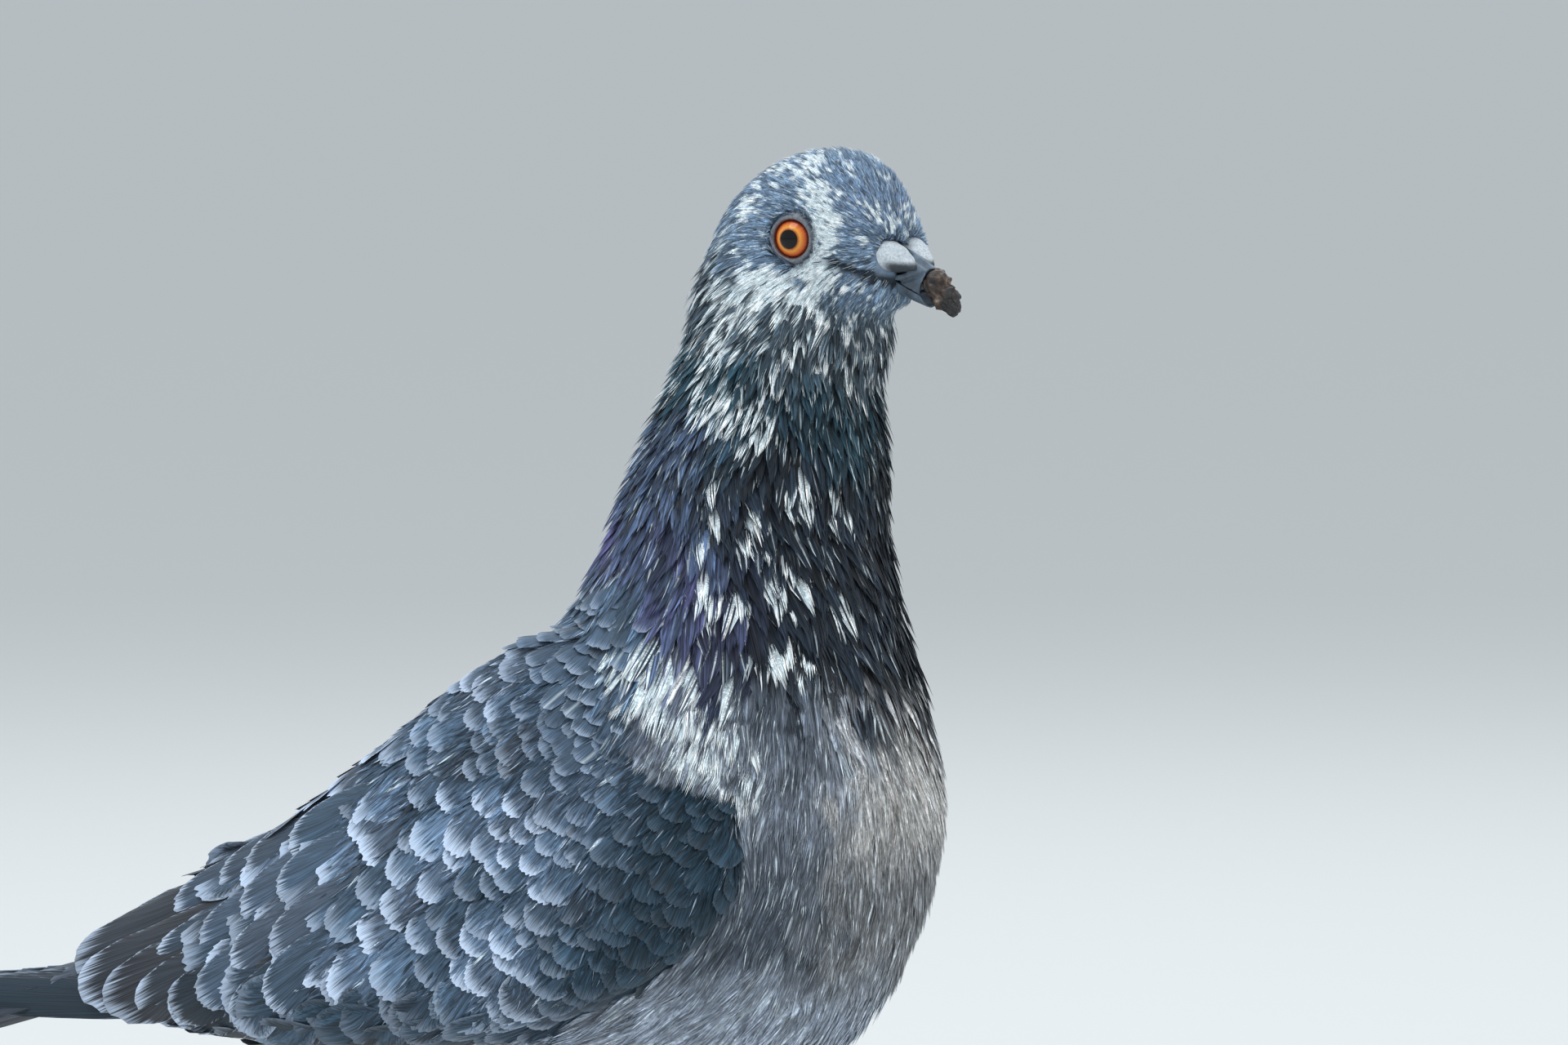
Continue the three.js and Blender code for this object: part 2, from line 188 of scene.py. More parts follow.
LINE_STEPS = 260  # how finely the two lines are followed


def along_body(points):
    """For each point: its share of the way from bill to tail, its share of the way from back to
    front, and the direction of the feathers' lines there."""
    at = np.linspace(0, len(BACK_LINE) - 1, LINE_STEPS)
    back, front = smooth_line(BACK_LINE, at), smooth_line(FRONT_LINE, at)
    section = front - back
    long = norms(section)
    across = np.stack([-section[:, 1], section[:, 0]], axis=1) / long[:, None]
    flat = in_body(points)[:, [0, 2]]
    offset = flat[:, None, :] - back
    down = (offset * section).sum(-1) / long**2
    outside = np.maximum(np.maximum(-down, down - 1), 0) * long
    row = np.arange(len(flat))
    best = np.argmin(np.abs((offset * across).sum(-1)) + outside, axis=1)
    share = np.clip(down[row, best], 0, 1)
    runs = blend(np.gradient(back, axis=0)[best], np.gradient(front, axis=0)[best], share)
    direction = np.stack([runs[:, 0], np.zeros(len(flat)), runs[:, 1]], axis=1)
    return at[best] / at[-1], share, unit(direction)


def lie(points, normals):
    """Which way feathers point: away from the bill over the head, then on towards the tail."""
    direction = along_body(points)[2]
    head = in_head(points)
    spread = unit(head - (BILL_ROOT + (3, 0, 1)))
    spread[:, 2] -= 0.75 * ease(4, -16, head[:, 2]) * ease(16, 2, head[:, 0])
    spread = unit(spread) @ HEAD_AXES
    behind = np.maximum(ease(-8, -22, head[:, 0]), ease(-14, -26, head[:, 2]))
    direction = blend(spread, direction, behind)
    body = in_body(points)
    on_thigh = ease(64, 54, body[:, 2]) * ease(6, 12, np.abs(body[:, 1]))
    direction = blend(direction, unit(np.array([-0.45, 0, -1])), on_thigh)
    return unit(direction - normals * (direction * normals).sum(-1, keepdims=True))


# ---- Markings ----

# Each blotch of white: its middle, its half sizes and how surely a feather there is white. The
# first list is in the head's own axes and the second in the body's, both for the right side.
HEAD_WHITES = [
    ((6, -13, -6), (6.5, 7, 4.6), 1.0),  # below the eye
    ((-2, -15.5, -9.5), (9, 8, 5.2), 1.0),  # cheek
    ((-10, -19, -12.5), (7.5, 9, 5.4), 0.9),
    ((8.5, -12, 1.5), (3.6, 6, 6), 0.95),  # before the eye
    ((5.5, -11, 9), (3.6, 5, 4.5), 0.85),
    ((1.5, -8.5, 14), (4.2, 6, 4.5), 0.8),  # over the eye to the crown
    ((-7, -6, 15), (7, 6, 4), 0.45),
    ((-10, -12, 7), (5, 5, 4), 0.28),
    ((-18, -14, -2), (5, 8, 5), 0.25),
    ((14, -5, -8), (3, 5, 3), 0.35),
    ((17.5, -3, 4), (2.2, 2.5, 3.2), 0.6),  # over the cere
    ((12, -7, 7), (3, 3, 3), 0.3),
]
BODY_WHITES = [
    ((14, -19, 214), (8, 9, 7), 0.4),  # below the cheek
    ((18, -22, 203), (7, 8, 6.5), 0.8),
    ((26, -22, 199), (6, 7, 5), 0.6),
    ((4, -14, 211), (5, 8, 8), 0.55),  # nape's edge
    ((19, -28, 180), (3.6, 7, 7), 0.6),
    ((34, -19, 185), (2.4, 5, 4.5), 0.9),
    ((39.5, -14, 183), (2.6, 5, 5), 0.95),
    ((28, -25, 178), (3, 6, 8), 0.5),
    ((34, -22, 167), (3, 6, 5), 0.5),
    ((42, -14, 164), (2.5, 5, 4), 0.6),
    ((21, -31, 165), (3.5, 6, 5), 0.5),
    ((37, -25, 153), (4, 7, 4), 0.6),
    ((28, -28, 160), (3.5, 6, 4), 0.4),
    ((2, -33, 153), (5, 12, 3.5), 0.95),  # band before the wing
    ((9, -35, 149.5), (6, 12, 4), 0.95),
    ((16, -36, 145), (6, 10, 4.5), 0.95),
    ((23, -36, 139.5), (5.5, 9, 5.5), 0.85),
    ((29, -35, 131), (4.5, 9, 6.5), 0.6),
]


def blotches(points, spots, ragged):
    """How surely a feather is white, from the spots mirrored to both sides."""
    sure = np.zeros(len(points))
    folded = points.copy()
    folded[:, 1] = -np.abs(folded[:, 1])
    for middle, half, strength in spots:
        gone = norms((folded - middle) / half) + ragged
        sure = np.maximum(sure, strength * ease(1.15, 0.75, gone))
    return sure


def markings(points, colours):
    """The plumage's own colour at each point, and how surely a feather there is white."""
    head, body = in_head(points), in_body(points)
    share = along_body(points)[1]
    x, z = body[:, 0], body[:, 2]
    aside = np.abs(body[:, 1])
    broad, fine = mottle(points, 26, 3), mottle(points, 9, 5)

    # Head: slate, a little violet on the forehead and darker behind the eye and on the throat.
    forehead = ease(4, 13, head[:, 0]) * ease(-2, 6, head[:, 2])
    plume = blend(colours.head_slate, colours.forehead, forehead)
    throat = ease(-7, -18, head[:, 2] + 2 * fine + 0.3 * head[:, 0] - 3)
    plume = blend(plume, colours.throat, throat)
    # Neck: near black in front, green-blue high up, violet low on the sides and slate behind.
    on_neck = ease(216, 206, z + 0.35 * x + 3 * fine - 8)
    neck = blend(colours.neck_dark, colours.neck_green, ease(188, 212, z + 6 * broad) * 0.8)
    side = ease(0.62, 0.35, share + 0.08 * fine)
    neck = blend(neck, colours.nape, side * ease(206, 192, z + 3 * fine))
    violet = ease(184, 166, z + 6 * broad) * ease(0.72, 0.42, share + 0.1 * fine)
    neck = blend(neck, colours.neck_violet, violet * (0.55 + 0.35 * fine).clip(0, 1))
    plume = blend(plume, neck, on_neck)
    # Breast and belly: pale grey, mottled above, lighter below, with painted warm light on the
    # front edge and painted shade low on the front.
    patchy = ease(-0.6, 1.1, 0.6 * fine + 0.8 * broad) * 0.6
    breast = blend(colours.breast, colours.breast_mottle_and_shade, patchy * ease(0.42, 0.6, share))
    # Painted light: the breast's front edge is painted warm and pale, where warm light from the
    # front falls on it.
    breast = blend(breast, colours.lit_breast_front, ease(0.84, 0.97, share + 0.03 * fine))
    # Painted shade: the breast is darkened low on its front.
    breast = blend(breast, colours.breast_mottle_and_shade, ease(128, 112, z) * ease(0.55, 0.75, share) * 0.7)
    breast = blend(breast, colours.belly, ease(104, 84, z + 5 * broad))
    edge = 146 + 0.12 * (aside - 20) + 5 * fine
    plume = blend(plume, breast, ease(edge + 4, edge - 8, z) * ease(0.3, 0.42, share))
    # Back, rump and the coverts of the tail.
    low = 0.1 * ease(166, 150, z)
    on_back = ease(0.35, 0.28, share - low) * ease(174, 164, z)
    plume = blend(plume, colours.mantle, on_back)
    plume = blend(plume, colours.rump, ease(-62, -84, x + 4 * fine))
    # Painted shade: a dark line along the slit where the mouth shuts.
    mouth = in_bill(points)
    by_mouth = ease(-3.5, -1.5, mouth[:, 0]) * ease(215, 220, z)
    above = mouth[:, 2] + GAPE_DROP
    line = ease(-1.2, -0.6, above) * ease(1.8, 0.8, above) * by_mouth
    plume = blend(plume, colours.neck_dark, line)

    ragged = 0.22 * mottle(points, 4.5, 8) + 0.12 * mottle(points, 10, 9)
    white = np.maximum(blotches(head, HEAD_WHITES, ragged), blotches(body, BODY_WHITES, ragged))
    flecks = ease(0.2, 1.0, mottle(points, 6, 12)) * ease(150, 165, z) * ease(1, 0.3, on_neck)
    white = np.maximum(white, 0.45 * flecks)
    white = np.maximum(white, 0.14 * throat * ease(200, 214, z))
    over = ease(-2.6, -1.6, mouth[:, 2]) * ease(3.5, 2, mouth[:, 2]) * by_mouth
    return plume, white * (1 - 0.75 * over) * (1 - line)


# ---- Meshes ----


def values(items, name, width, kind=float):
    """One attribute of many mesh items as an array."""
    made = np.empty(len(items) * width, kind)
    items.foreach_get(name, made)
    return made.reshape(-1, width) if width > 1 else made


def add_object(name, mesh, material, replaced=()):
    """A finished piece, in place in its mesh, riding on the bird."""
    piece = bpy.data.objects.new(name, mesh)
    bpy.context.scene.collection.objects.link(piece)
    mesh.materials.clear()
    mesh.materials.append(material)
    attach(piece, "root")
    if replaced:
        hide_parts(*replaced)
    return piece


@contextmanager
def edited(mesh):
    """Opens a mesh for editing and writes it back at the end."""
    bm = bmesh.new()
    bm.from_mesh(mesh)
    yield bm
    bm.to_mesh(mesh)
    bm.free()


def joined(meshes, name):
    """One mesh made of several, which are used up."""
    made = bpy.data.meshes.new(name)
    with edited(made) as bm:
        for mesh in meshes:
            bm.from_mesh(mesh)
            bpy.data.meshes.remove(mesh)
    made.shade_smooth()
    return made


def remeshed(nodes, voxel, rounds, swell=0.0):
    """An even closed mesh over the outside of CAD nodes, smoothed a number of rounds. swell is
    how far each node is pushed out first, so that neighbours run together."""
    copies = []
    for node in nodes:
        copy = bpy.data.meshes.new(node)
        bm = bmesh.new()
        bm.from_mesh(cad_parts[node].data)
        bmesh.ops.remove_doubles(bm, verts=bm.verts, dist=1e-6)
        bm.normal_update()
        for vert in bm.verts:
            vert.co += vert.normal * swell * MM
        bm.to_mesh(copy)
        bm.free()
        copies.append(copy)
    rough = joined(copies, "rough")
    holder = bpy.data.objects.new("rough", rough)
    bpy.context.scene.collection.objects.link(holder)
    even = holder.modifiers.new("even", "REMESH")
    even.mode = "VOXEL"
    even.voxel_size = voxel * MM
    soft = holder.modifiers.new("soft", "SMOOTH")
    soft.iterations = rounds
    bpy.context.view_layer.update()
    shaped = holder.evaluated_get(bpy.context.evaluated_depsgraph_get())
    mesh = bpy.data.meshes.new_from_object(shaped)
    bpy.data.objects.remove(holder)
    bpy.data.meshes.remove(rough)
    mesh.shade_smooth()
    return mesh


def places(mesh):
    return values(mesh.vertices, "co", 3) / MM


def facings(mesh):
    return values(mesh.vertices, "normal", 3)


def move_to(mesh, points):
    mesh.vertices.foreach_set("co", (points * MM).astype(np.float32).ravel())
    mesh.update()


def smoothed(mesh, rounds):
    """Smooths a mesh in place."""
    with edited(mesh) as bm:
        for _ in range(rounds):
            bmesh.ops.smooth_vert(
                bm, verts=bm.verts, factor=0.5, use_axis_x=True, use_axis_y=True, use_axis_z=True
            )


def ordered(mesh, firm):
    """The same mesh with its loose faces last and in a fixed order: all but the first, firm
    ones, and those beside the level cuts. Cutting, spinning and bridging leave them in an order
    that changes from run to run, and feathers are planted by it."""
    name, points = mesh.name, values(mesh.vertices, "co", 3)
    height = points[:, 2] / MM
    by_cut = ((height > LEG_TOP - 0.01) & (height < HOCK + 0.01)).tolist()
    settled, loose = [], []
    for index, polygon in enumerate(mesh.polygons):
        face = list(polygon.vertices)
        if index < firm and not any(by_cut[vertex] for vertex in face):
            settled.append(face)
        else:
            start = face.index(min(face))
            loose.append(face[start:] + face[:start])
    bpy.data.meshes.remove(mesh)
    made = bpy.data.meshes.new(name)
    made.from_pydata(points, [], settled + sorted(loose))
    return made


def paint_points(mesh, colours, alpha):
    """A colour for each vertex, which the feathers' and the skin's materials read."""
    layer = mesh.color_attributes.new("Plumage", "FLOAT_COLOR", "POINT")
    rgba = np.ones((len(mesh.vertices), 4), np.float32)
    rgba[:, :3] = np.clip(colours, 0, 1)
    rgba[:, 3] = alpha
    layer.data.foreach_set("color", rgba.ravel())


CELL, CELL_BITS = 3, 7  # width of the cells that order a ground, and the bits for their count


class Ground:
    """A surface that feathers are planted on."""

    def __init__(self, mesh):
        mesh.calc_loop_triangles()
        self.points = places(mesh)
        self.normals = facings(mesh)
        self.corners = values(mesh.loop_triangles, "vertices", 3, np.int32)
        self.areas = values(mesh.loop_triangles, "area", 1) / MM**2
        self.middles = self.points[self.corners].mean(axis=1)
        self.tree = BVHTree.FromPolygons(self.points.tolist(), self.corners.tolist())

    def facing(self, at, index):
        """Smooth normals at points on the given triangles."""
        a, b, c = (self.points[self.corners[index, k]] for k in range(3))
        whole = np.cross(b - a, c - a)
        size = np.maximum((whole * whole).sum(-1), 1e-12)
        first = (np.cross(c - b, at - b) * whole).sum(-1) / size
        second = (np.cross(a - c, at - c) * whole).sum(-1) / size
        weights = np.clip(np.stack([first, second, 1 - first - second], axis=1), 0, 1)
        return unit((self.normals[self.corners[index]] * weights[:, :, None]).sum(axis=1))

    def nearest(self, points):
        """The nearest points of the surface, and its normals there."""
        found = [self.tree.find_nearest(point) for point in points.tolist()]
        at = np.array([hit[0] for hit in found])
        return at, self.facing(at, np.array([hit[2] for hit in found]))

    def scatter(self, count, density, seed):
        """Points spread evenly where the density, one value for each triangle, is even."""
        rng = np.random.default_rng(seed)
        low = self.middles.min(axis=0)
        cell = ((self.middles - low) / CELL).astype(np.int64)
        order = np.zeros(len(cell), np.int64)
        for bit in range(CELL_BITS):
            for axis in range(3):
                order |= ((cell[:, axis] >> bit) & 1) << (3 * bit + axis)
        order = np.argsort(order, kind="stable")
        reach = np.cumsum((self.areas * density)[order])
        steps = (np.arange(count) + rng.uniform(size=count)) / count * reach[-1]
        index = order[np.minimum(np.searchsorted(reach, steps), len(order) - 1)]
        u, v = rng.uniform(size=(2, count))
        u, v = np.where(u + v > 1, [1 - u, 1 - v], [u, v])
        a, b, c = (self.points[self.corners[index, k]] for k in range(3))
        at = a + (b - a) * u[:, None] + (c - a) * v[:, None]
        return at, self.facing(at, index)

    def follow(self, roots, normals, lengths, steps, heading=lie, ruffle=0.0):
        """Paths along the surface from the roots, and the surface's normals on them. ruffle is
        how far they stray from the lie, together where they are near each other."""
        rng = np.random.default_rng(len(roots))
        stray = ruffle * (0.6 * mottle(roots, 12, 14) + rng.normal(0, 0.45, len(roots)))
        at, facing = roots, normals
        paths, normals = [at], [facing]
        for _ in range(steps):
            ahead = heading(at, facing)
            ahead = unit(ahead + np.cross(facing, ahead) * stray[:, None])
            at, facing = self.nearest(at + ahead * (lengths / steps)[:, None])
            paths.append(at)
            normals.append(facing)
        return np.stack(paths, axis=1), np.stack(normals, axis=1)


class Flesh:
    """Which CAD node a place on the skin belongs to."""

    def __init__(self, nodes):
        points, corners, self.owners = [], [], []
        for index, node in enumerate(nodes):
            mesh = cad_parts[node].data
            mesh.calc_loop_triangles()
            first = sum(len(part) for part in points)
            points.append(places(mesh))
            faces = values(mesh.loop_triangles, "vertices", 3, np.int32) + first
            corners.append(faces)
            self.owners += [index] * len(faces)
        self.nodes = list(nodes)
        self.owners = np.array(self.owners)
        self.tree = BVHTree.FromPolygons(
            np.concatenate(points).tolist(), np.concatenate(corners).tolist()
        )

    def owner(self, points):
        found = [self.tree.find_nearest(point)[2] for point in points.tolist()]
        return self.owners[np.array(found)]

    def distance(self, points):
        return np.array([self.tree.find_nearest(point)[3] for point in points.tolist()])

    def belongs(self, owners, *starts):
        """A mask of the owners whose names start with one of the words."""
        wanted = [node.startswith(starts) for node in self.nodes]
        return np.array(wanted)[owners]


# ---- Feathers ----

TUFT_PATCH = 0.003  # width of a small feather's place on the baking map
COVERT_PATCH = 0.03


class Pattern:
    """One feather to repeat: for each corner its place across (-1 to 1), along (0 to 1) and up
    (in half widths), where it falls on the vane's map, and the barb that it belongs to."""

    def __init__(self, bm, barbs):
        bm.verts.index_update()
        layer = bm.verts.layers.float_vector["vane"]
        self.shape = np.array([vert.co for vert in bm.verts])
        self.vane = np.array([vert[layer] for vert in bm.verts])
        self.faces = [[vert.index for vert in face.verts] for face in bm.faces]
        self.barbs = barbs
        bm.free()


def tuft(barbs, rows, seed, point=0.0):
    """A loose feather: a fan of flat pointed barbs. point is how far it narrows to its tip."""
    rng = np.random.default_rng(seed)
    bm = bmesh.new()
    layer = bm.verts.layers.float_vector.new("vane")
    for barb in range(barbs):
        aside = 2 * barb / (barbs - 1) - 1
        reach = 1 - 0.26 * aside**2 - rng.uniform(0, 0.14)
        lean = rng.uniform(-0.5, 0.5) / barbs
        roll = rng.uniform(-0.5, 0.5) / barbs
        made = bmesh.ops.create_grid(bm, x_segments=1, y_segments=rows, size=1)["verts"]
        tip = [vert for vert in made if vert.co.y > 0.99]
        for vert in made:
            along = (vert.co.y + 1) / 2
            edge = vert.co.x
            opened = 0.22 + 0.78 * math.sin(math.pi / 2 * min(along / 0.6, 1)) - point * along**3
            half = 1.35 / barbs * (0.55 + 0.45 * min(along / 0.4, 1))
            across = aside * opened * (1 - 1 / barbs) + lean * along + edge * half
            up = -0.22 * across**2 + edge * roll * 1.6
            vert[layer] = ((barb + 0.5 + 0.45 * edge) / barbs, along, barb)
            vert.co = (across, along * reach, up)
        middle = sum((vert.co for vert in tip), Vector()) / len(tip)
        ends = [vert[layer].copy() for vert in tip]
        bmesh.ops.pointmerge(bm, verts=tip, merge_co=middle)
        for vert in bm.verts:
            if (vert.co - middle).length < 1e-6:
                vert[layer] = (ends[0] + ends[1]) / 2
    return Pattern(bm, barbs)


def vane(columns, rows, widths, rounding, frayed=0.0, seed=0):
    """A firm feather: a cambered blade with a raised shaft. The widths are shares of its half
    width from root to tip, and rounding is how much shorter it is at its edges."""
    rng = np.random.default_rng(seed)
    bm = bmesh.new()
    layer = bm.verts.layers.float_vector.new("vane")
    made = bmesh.ops.create_grid(bm, x_segments=columns, y_segments=rows, size=1)["verts"]
    fray = rng.uniform(-frayed, frayed, size=columns + 1)
    for vert in made:
        edge, along = vert.co.x, (vert.co.y + 1) / 2
        half = float(np.interp(along, np.linspace(0, 1, len(widths)), widths))
        column = round((edge + 1) / 2 * columns)
        short = rounding * (1 - math.sqrt(1 - 0.97 * edge * edge)) + fray[column]
        shaft = 0.06 if abs(edge) < 0.01 else 0.0
        across = edge * half
        vert[layer] = ((edge + 1) / 2, along, column)
        vert.co = (across, along * (1 - short * along**2), shaft * (1 - along) - 0.2 * across**2)
    return Pattern(bm, columns)


def rebuilt(name, points, faces, count, per):
    """A mesh of many copies of one pattern's faces."""
    starts = np.cumsum([0] + [len(face) for face in faces[:-1]])
    corners = np.concatenate([np.array(face) for face in faces])
    loops = (np.arange(count)[:, None] * per + corners).astype(np.int32).ravel()
    first = (np.arange(count)[:, None] * len(corners) + starts).astype(np.int32).ravel()
    mesh = bpy.data.meshes.new(name)
    mesh.vertices.add(len(points))
    mesh.vertices.foreach_set("co", (points * MM).astype(np.float32).ravel())
    mesh.loops.add(len(loops))
    mesh.loops.foreach_set("vertex_index", loops)
    mesh.polygons.add(len(first))
    mesh.polygons.foreach_set("loop_start", first)
    mesh.update(calc_edges=True)
    mesh.shade_smooth()
    return mesh, loops


def kept(keep, *arrays):
    """The rows of several arrays that are to be kept."""
    return [array[keep] for array in arrays]


def grown(
    name, pattern, paths, normals, half, tints, bury, stand, streak, fringe=0.0, pale=None,
    patches=None,
):
    """Plants one pattern along each path. half is the half width of each, and tints its colour.
    bury and stand are how far below the surface a feather starts and above it ends, streak is
    how much its barbs differ in brightness, and fringe how pale its edges are. pale gives which
    feathers have white barbs, how many of their barbs and how many of all feathers' barbs are
    white, and the white. patches are the places and sizes on the baking map."""
    rng = np.random.default_rng(len(paths))
    count, steps = len(paths), paths.shape[1] - 1
    half, bury, stand, fringe = (np.broadcast_to(v, count) for v in (half, bury, stand, fringe))
    shape, vane_map = pattern.shape, pattern.vane
    at = np.clip(shape[:, 1], 0, 1) * steps
    first = np.minimum(at.astype(int), steps - 1)
    part = (at - first)[None, :, None]
    centre = paths[:, first] * (1 - part) + paths[:, first + 1] * part
    up = unit(normals[:, first] * (1 - part) + normals[:, first + 1] * part)
    runs = np.gradient(paths, axis=1)
    ahead = unit(runs[:, first] * (1 - part) + runs[:, first + 1] * part)
    side = unit(np.cross(ahead, up))
    wide = half[:, None, None]
    rise = between(-bury[:, None], stand[:, None], shape[None, :, 1] ** 0.8)
    points = centre + side * shape[None, :, 0:1] * wide
    points += up * (shape[None, :, 2:3] * wide + rise[:, :, None])
    mesh, loops = rebuilt(name, points.reshape(-1, 3), pattern.faces, count, len(shape))

    barb = np.minimum(vane_map[:, 2].astype(int), pattern.barbs)
    bright = np.exp(rng.normal(0, streak, size=(count, pattern.barbs + 1)))[:, barb]
    bright *= 0.8 + 0.3 * shape[None, :, 1]
    colours = tints[:, None, :] * bright[:, :, None].clip(0.3, 2.6)
    if pale:
        flagged, most, few, white = pale
        chance = np.where(flagged, most, few)[:, None]
        strands = (rng.uniform(size=(count, pattern.barbs + 1)) < chance)[:, barb]
        share = strands * np.where(flagged, 0.95, 0.45)[:, None]
        share = share * ease(0.15, 0.45, shape[None, :, 1])
        light = white * bright[:, :, None].clip(0.88, 1.25)
        colours = blend(colours, light, share)
    paint_points(mesh, colours.reshape(-1, 3), np.repeat(fringe, len(shape)))
    own = mesh.uv_layers.new(name="Vane")
    spots = np.tile(vane_map[:, :2], (count, 1))[loops]
    own.data.foreach_set("uv", spots.astype(np.float32).ravel())
    bake = mesh.uv_layers.new(name="OFBake")
    place, patch = patches or (spread_on_map(paths[:, 0]), TUFT_PATCH)
    local = (vane_map[None, :, :2] - 0.5) * np.asarray(patch).reshape(-1, 1, 1)
    spots = (place[:, None, :] + local).reshape(-1, 2)[loops].clip(0.001, 0.999)
    bake.data.foreach_set("uv", spots.astype(np.float32).ravel())
    mesh.uv_layers.active = own
    return mesh


def planted(name, material, slot, pattern, paths, normals, replaced=(), **looks):
    """A finished piece of feathers."""
    mesh = grown(name, pattern, paths, normals, **looks)
    return add_object(name, mesh, material, replaced)


def spread_on_map(roots):
    """Each root's place on the baking map: its way from bill to tail and round the body."""
    along, share, _ = along_body(roots)
    turn = np.arccos(1 - 2 * share.clip(0, 1)) * np.sign(in_body(roots)[:, 1] + 1e-6)
    flat = np.stack([along, turn], axis=1)
    low, high = flat.min(axis=0), flat.max(axis=0)
    return 0.01 + 0.98 * (flat - low) / np.maximum(high - low, 1e-6)


# ---- Materials ----


def maths(operation, swapped=False):
    """A method of Wire that adds one node of maths."""

    def method(self, *others):
        inputs = [self, *others]
        settings = {"operation": operation}
        return self.paint.node("ShaderNodeMath", settings, inputs[::-1] if swapped else inputs)

    return method


class Wire:
    """An output of a material's node, so that shader maths reads as an expression."""

    def __init__(self, paint, socket):
        self.paint = paint
        self.socket = socket

    __add__ = __radd__ = maths("ADD")
    __mul__ = __rmul__ = maths("MULTIPLY")
    __sub__, __rsub__ = maths("SUBTRACT"), maths("SUBTRACT", swapped=True)
    __truediv__, __pow__, __abs__ = maths("DIVIDE"), maths("POWER"), maths("ABSOLUTE")
    larger, smaller = maths("MAXIMUM"), maths("MINIMUM")

    def eased(self, low, high):
        """0 at low and 1 at high, smooth between."""
        settings = {"interpolation_type": "SMOOTHSTEP"}
        ends = {"Value": self, "From Min": low, "From Max": high}
        return self.paint.node("ShaderNodeMapRange", settings, ends)


class Paint:
    """A material being made, with its nodes and its one surface shader."""

    def __init__(self, name, **fixed):
        self.material = bpy.data.materials.new(name)
        self.material.use_nodes = True
        self.tree = self.material.node_tree
        self.shader = self.tree.nodes["Principled BSDF"]
        for socket, value in fixed.items():
            self.shader.inputs[socket.replace("_", " ")].default_value = value

    def node(self, kind, settings=None, inputs=(), output=0):
        """A new node with its settings made, its sockets filled, and one output returned."""
        node = self.tree.nodes.new(kind)
        for key, value in (settings or {}).items():
            if key == "stops":
                for _ in range(len(value) - 2):
                    node.color_ramp.elements.new(0.5)
                for element, (at, colour) in zip(node.color_ramp.elements, value):
                    element.position = at
                    element.color = (*colour, 1)
            else:
                setattr(node, key, value)
        pairs = inputs.items() if isinstance(inputs, dict) else enumerate(inputs)
        for key, value in pairs:
            if isinstance(value, Wire):
                self.tree.links.new(value.socket, node.inputs[key])
            else:
                node.inputs[key].default_value = value
        return Wire(self, node.outputs[output])

    def mix(self, share, first, second, way="MIX"):
        """Two colours mixed by a share."""
        settings = {"data_type": "RGBA", "blend_type": way}
        ends = {0: share, 6: first, 7: second}
        for key in (6, 7):
            if not isinstance(ends[key], Wire):
                ends[key] = (*ends[key], 1)
        return self.node("ShaderNodeMix", settings, ends, output=2)

    def ramp(self, share, stops):
        """Colours at stops along a share."""
        return self.node("ShaderNodeValToRGB", {"stops": stops}, [share])

    def plumage(self, output):
        """What paint_points wrote: Color or Alpha."""
        return self.node("ShaderNodeAttribute", {"attribute_name": "Plumage"}, output=output)

    def brightened(self, tint, bright):
        """A colour multiplied by a brightness."""
        shade = self.node("ShaderNodeCombineXYZ", inputs=[bright, bright, bright])
        return self.mix(1.0, tint, shade, "MULTIPLY")

    def place(self):
        """The piece's own coordinates, in metres."""
        return self.node("ShaderNodeTexCoord", output="Object")

    def noise(self, vector, scale, detail=2.0, rough=0.5):
        ends = {"Vector": vector, "Scale": scale, "Detail": detail, "Roughness": rough}
        return self.node("ShaderNodeTexNoise", inputs=ends)

    def split(self, vector, axis):
        return self.node("ShaderNodeSeparateXYZ", inputs=[vector], output=axis)

    def feed(self, **wires):
        for socket, wire in wires.items():
            target = self.shader.inputs[socket.replace("_", " ")]
            self.tree.links.new(wire.socket, target)

    def bump(self, height, strength, depth):
        ends = {"Strength": strength, "Distance": depth * MM, "Height": height}
        self.feed(Normal=self.node("ShaderNodeBump", inputs=ends))


def feather_paint(name, fringe_colour, strands, gloss, metallic=0.0, rim=(0.62, 1.1)):
    """Barbs as fine streaks that fan out from the shaft, and edges that pale softly. rim is
    where the paleness starts and is whole, from the middle to the edge."""
    paint = Paint(name, Metallic=metallic, Sheen_Weight=0.1, Specular_IOR_Level=0.3)
    tint, fringe = paint.plumage("Color"), paint.plumage("Alpha")
    own = paint.node("ShaderNodeUVMap", {"uv_map": "Vane"})
    across, along = paint.split(own, "X"), paint.split(own, "Y")
    edge = abs(across * 2 - 1)
    fan = (across - 0.5) / (along + 0.3) * strands
    grain = paint.node("ShaderNodeCombineXYZ", inputs=[fan, along * 1.5, paint.split(tint, 0) * 60])
    streak = paint.noise(grain, 1.0, 3.0, 0.65)
    bright = streak.eased(0.28, 0.72) * 1.2 + 0.4
    barbs = paint.brightened(tint, bright)
    outward = (edge ** 2 * 0.85).larger(along ** 2) + (streak - 0.5) * 0.75
    pale = outward.eased(*rim) * fringe
    paint.feed(Base_Color=paint.mix(pale, barbs, fringe_colour), Roughness=gloss + streak * 0.25)
    paint.bump(streak, 0.4, 0.25)
    return paint.material


# ---- What a user may change ----


def length(name, description, default):
    look = {"name": name, "description": description, "default": default}
    return FloatProperty(**look, min=0, subtype="DISTANCE", unit="LENGTH")


def amount(name, description, default):
    return IntProperty(name=name, description=description, default=default, min=1)


def colour(name, description, default):
    look = {"name": name, "description": description, "default": default}
    return FloatVectorProperty(**look, size=3, min=0, max=1, subtype="COLOR")


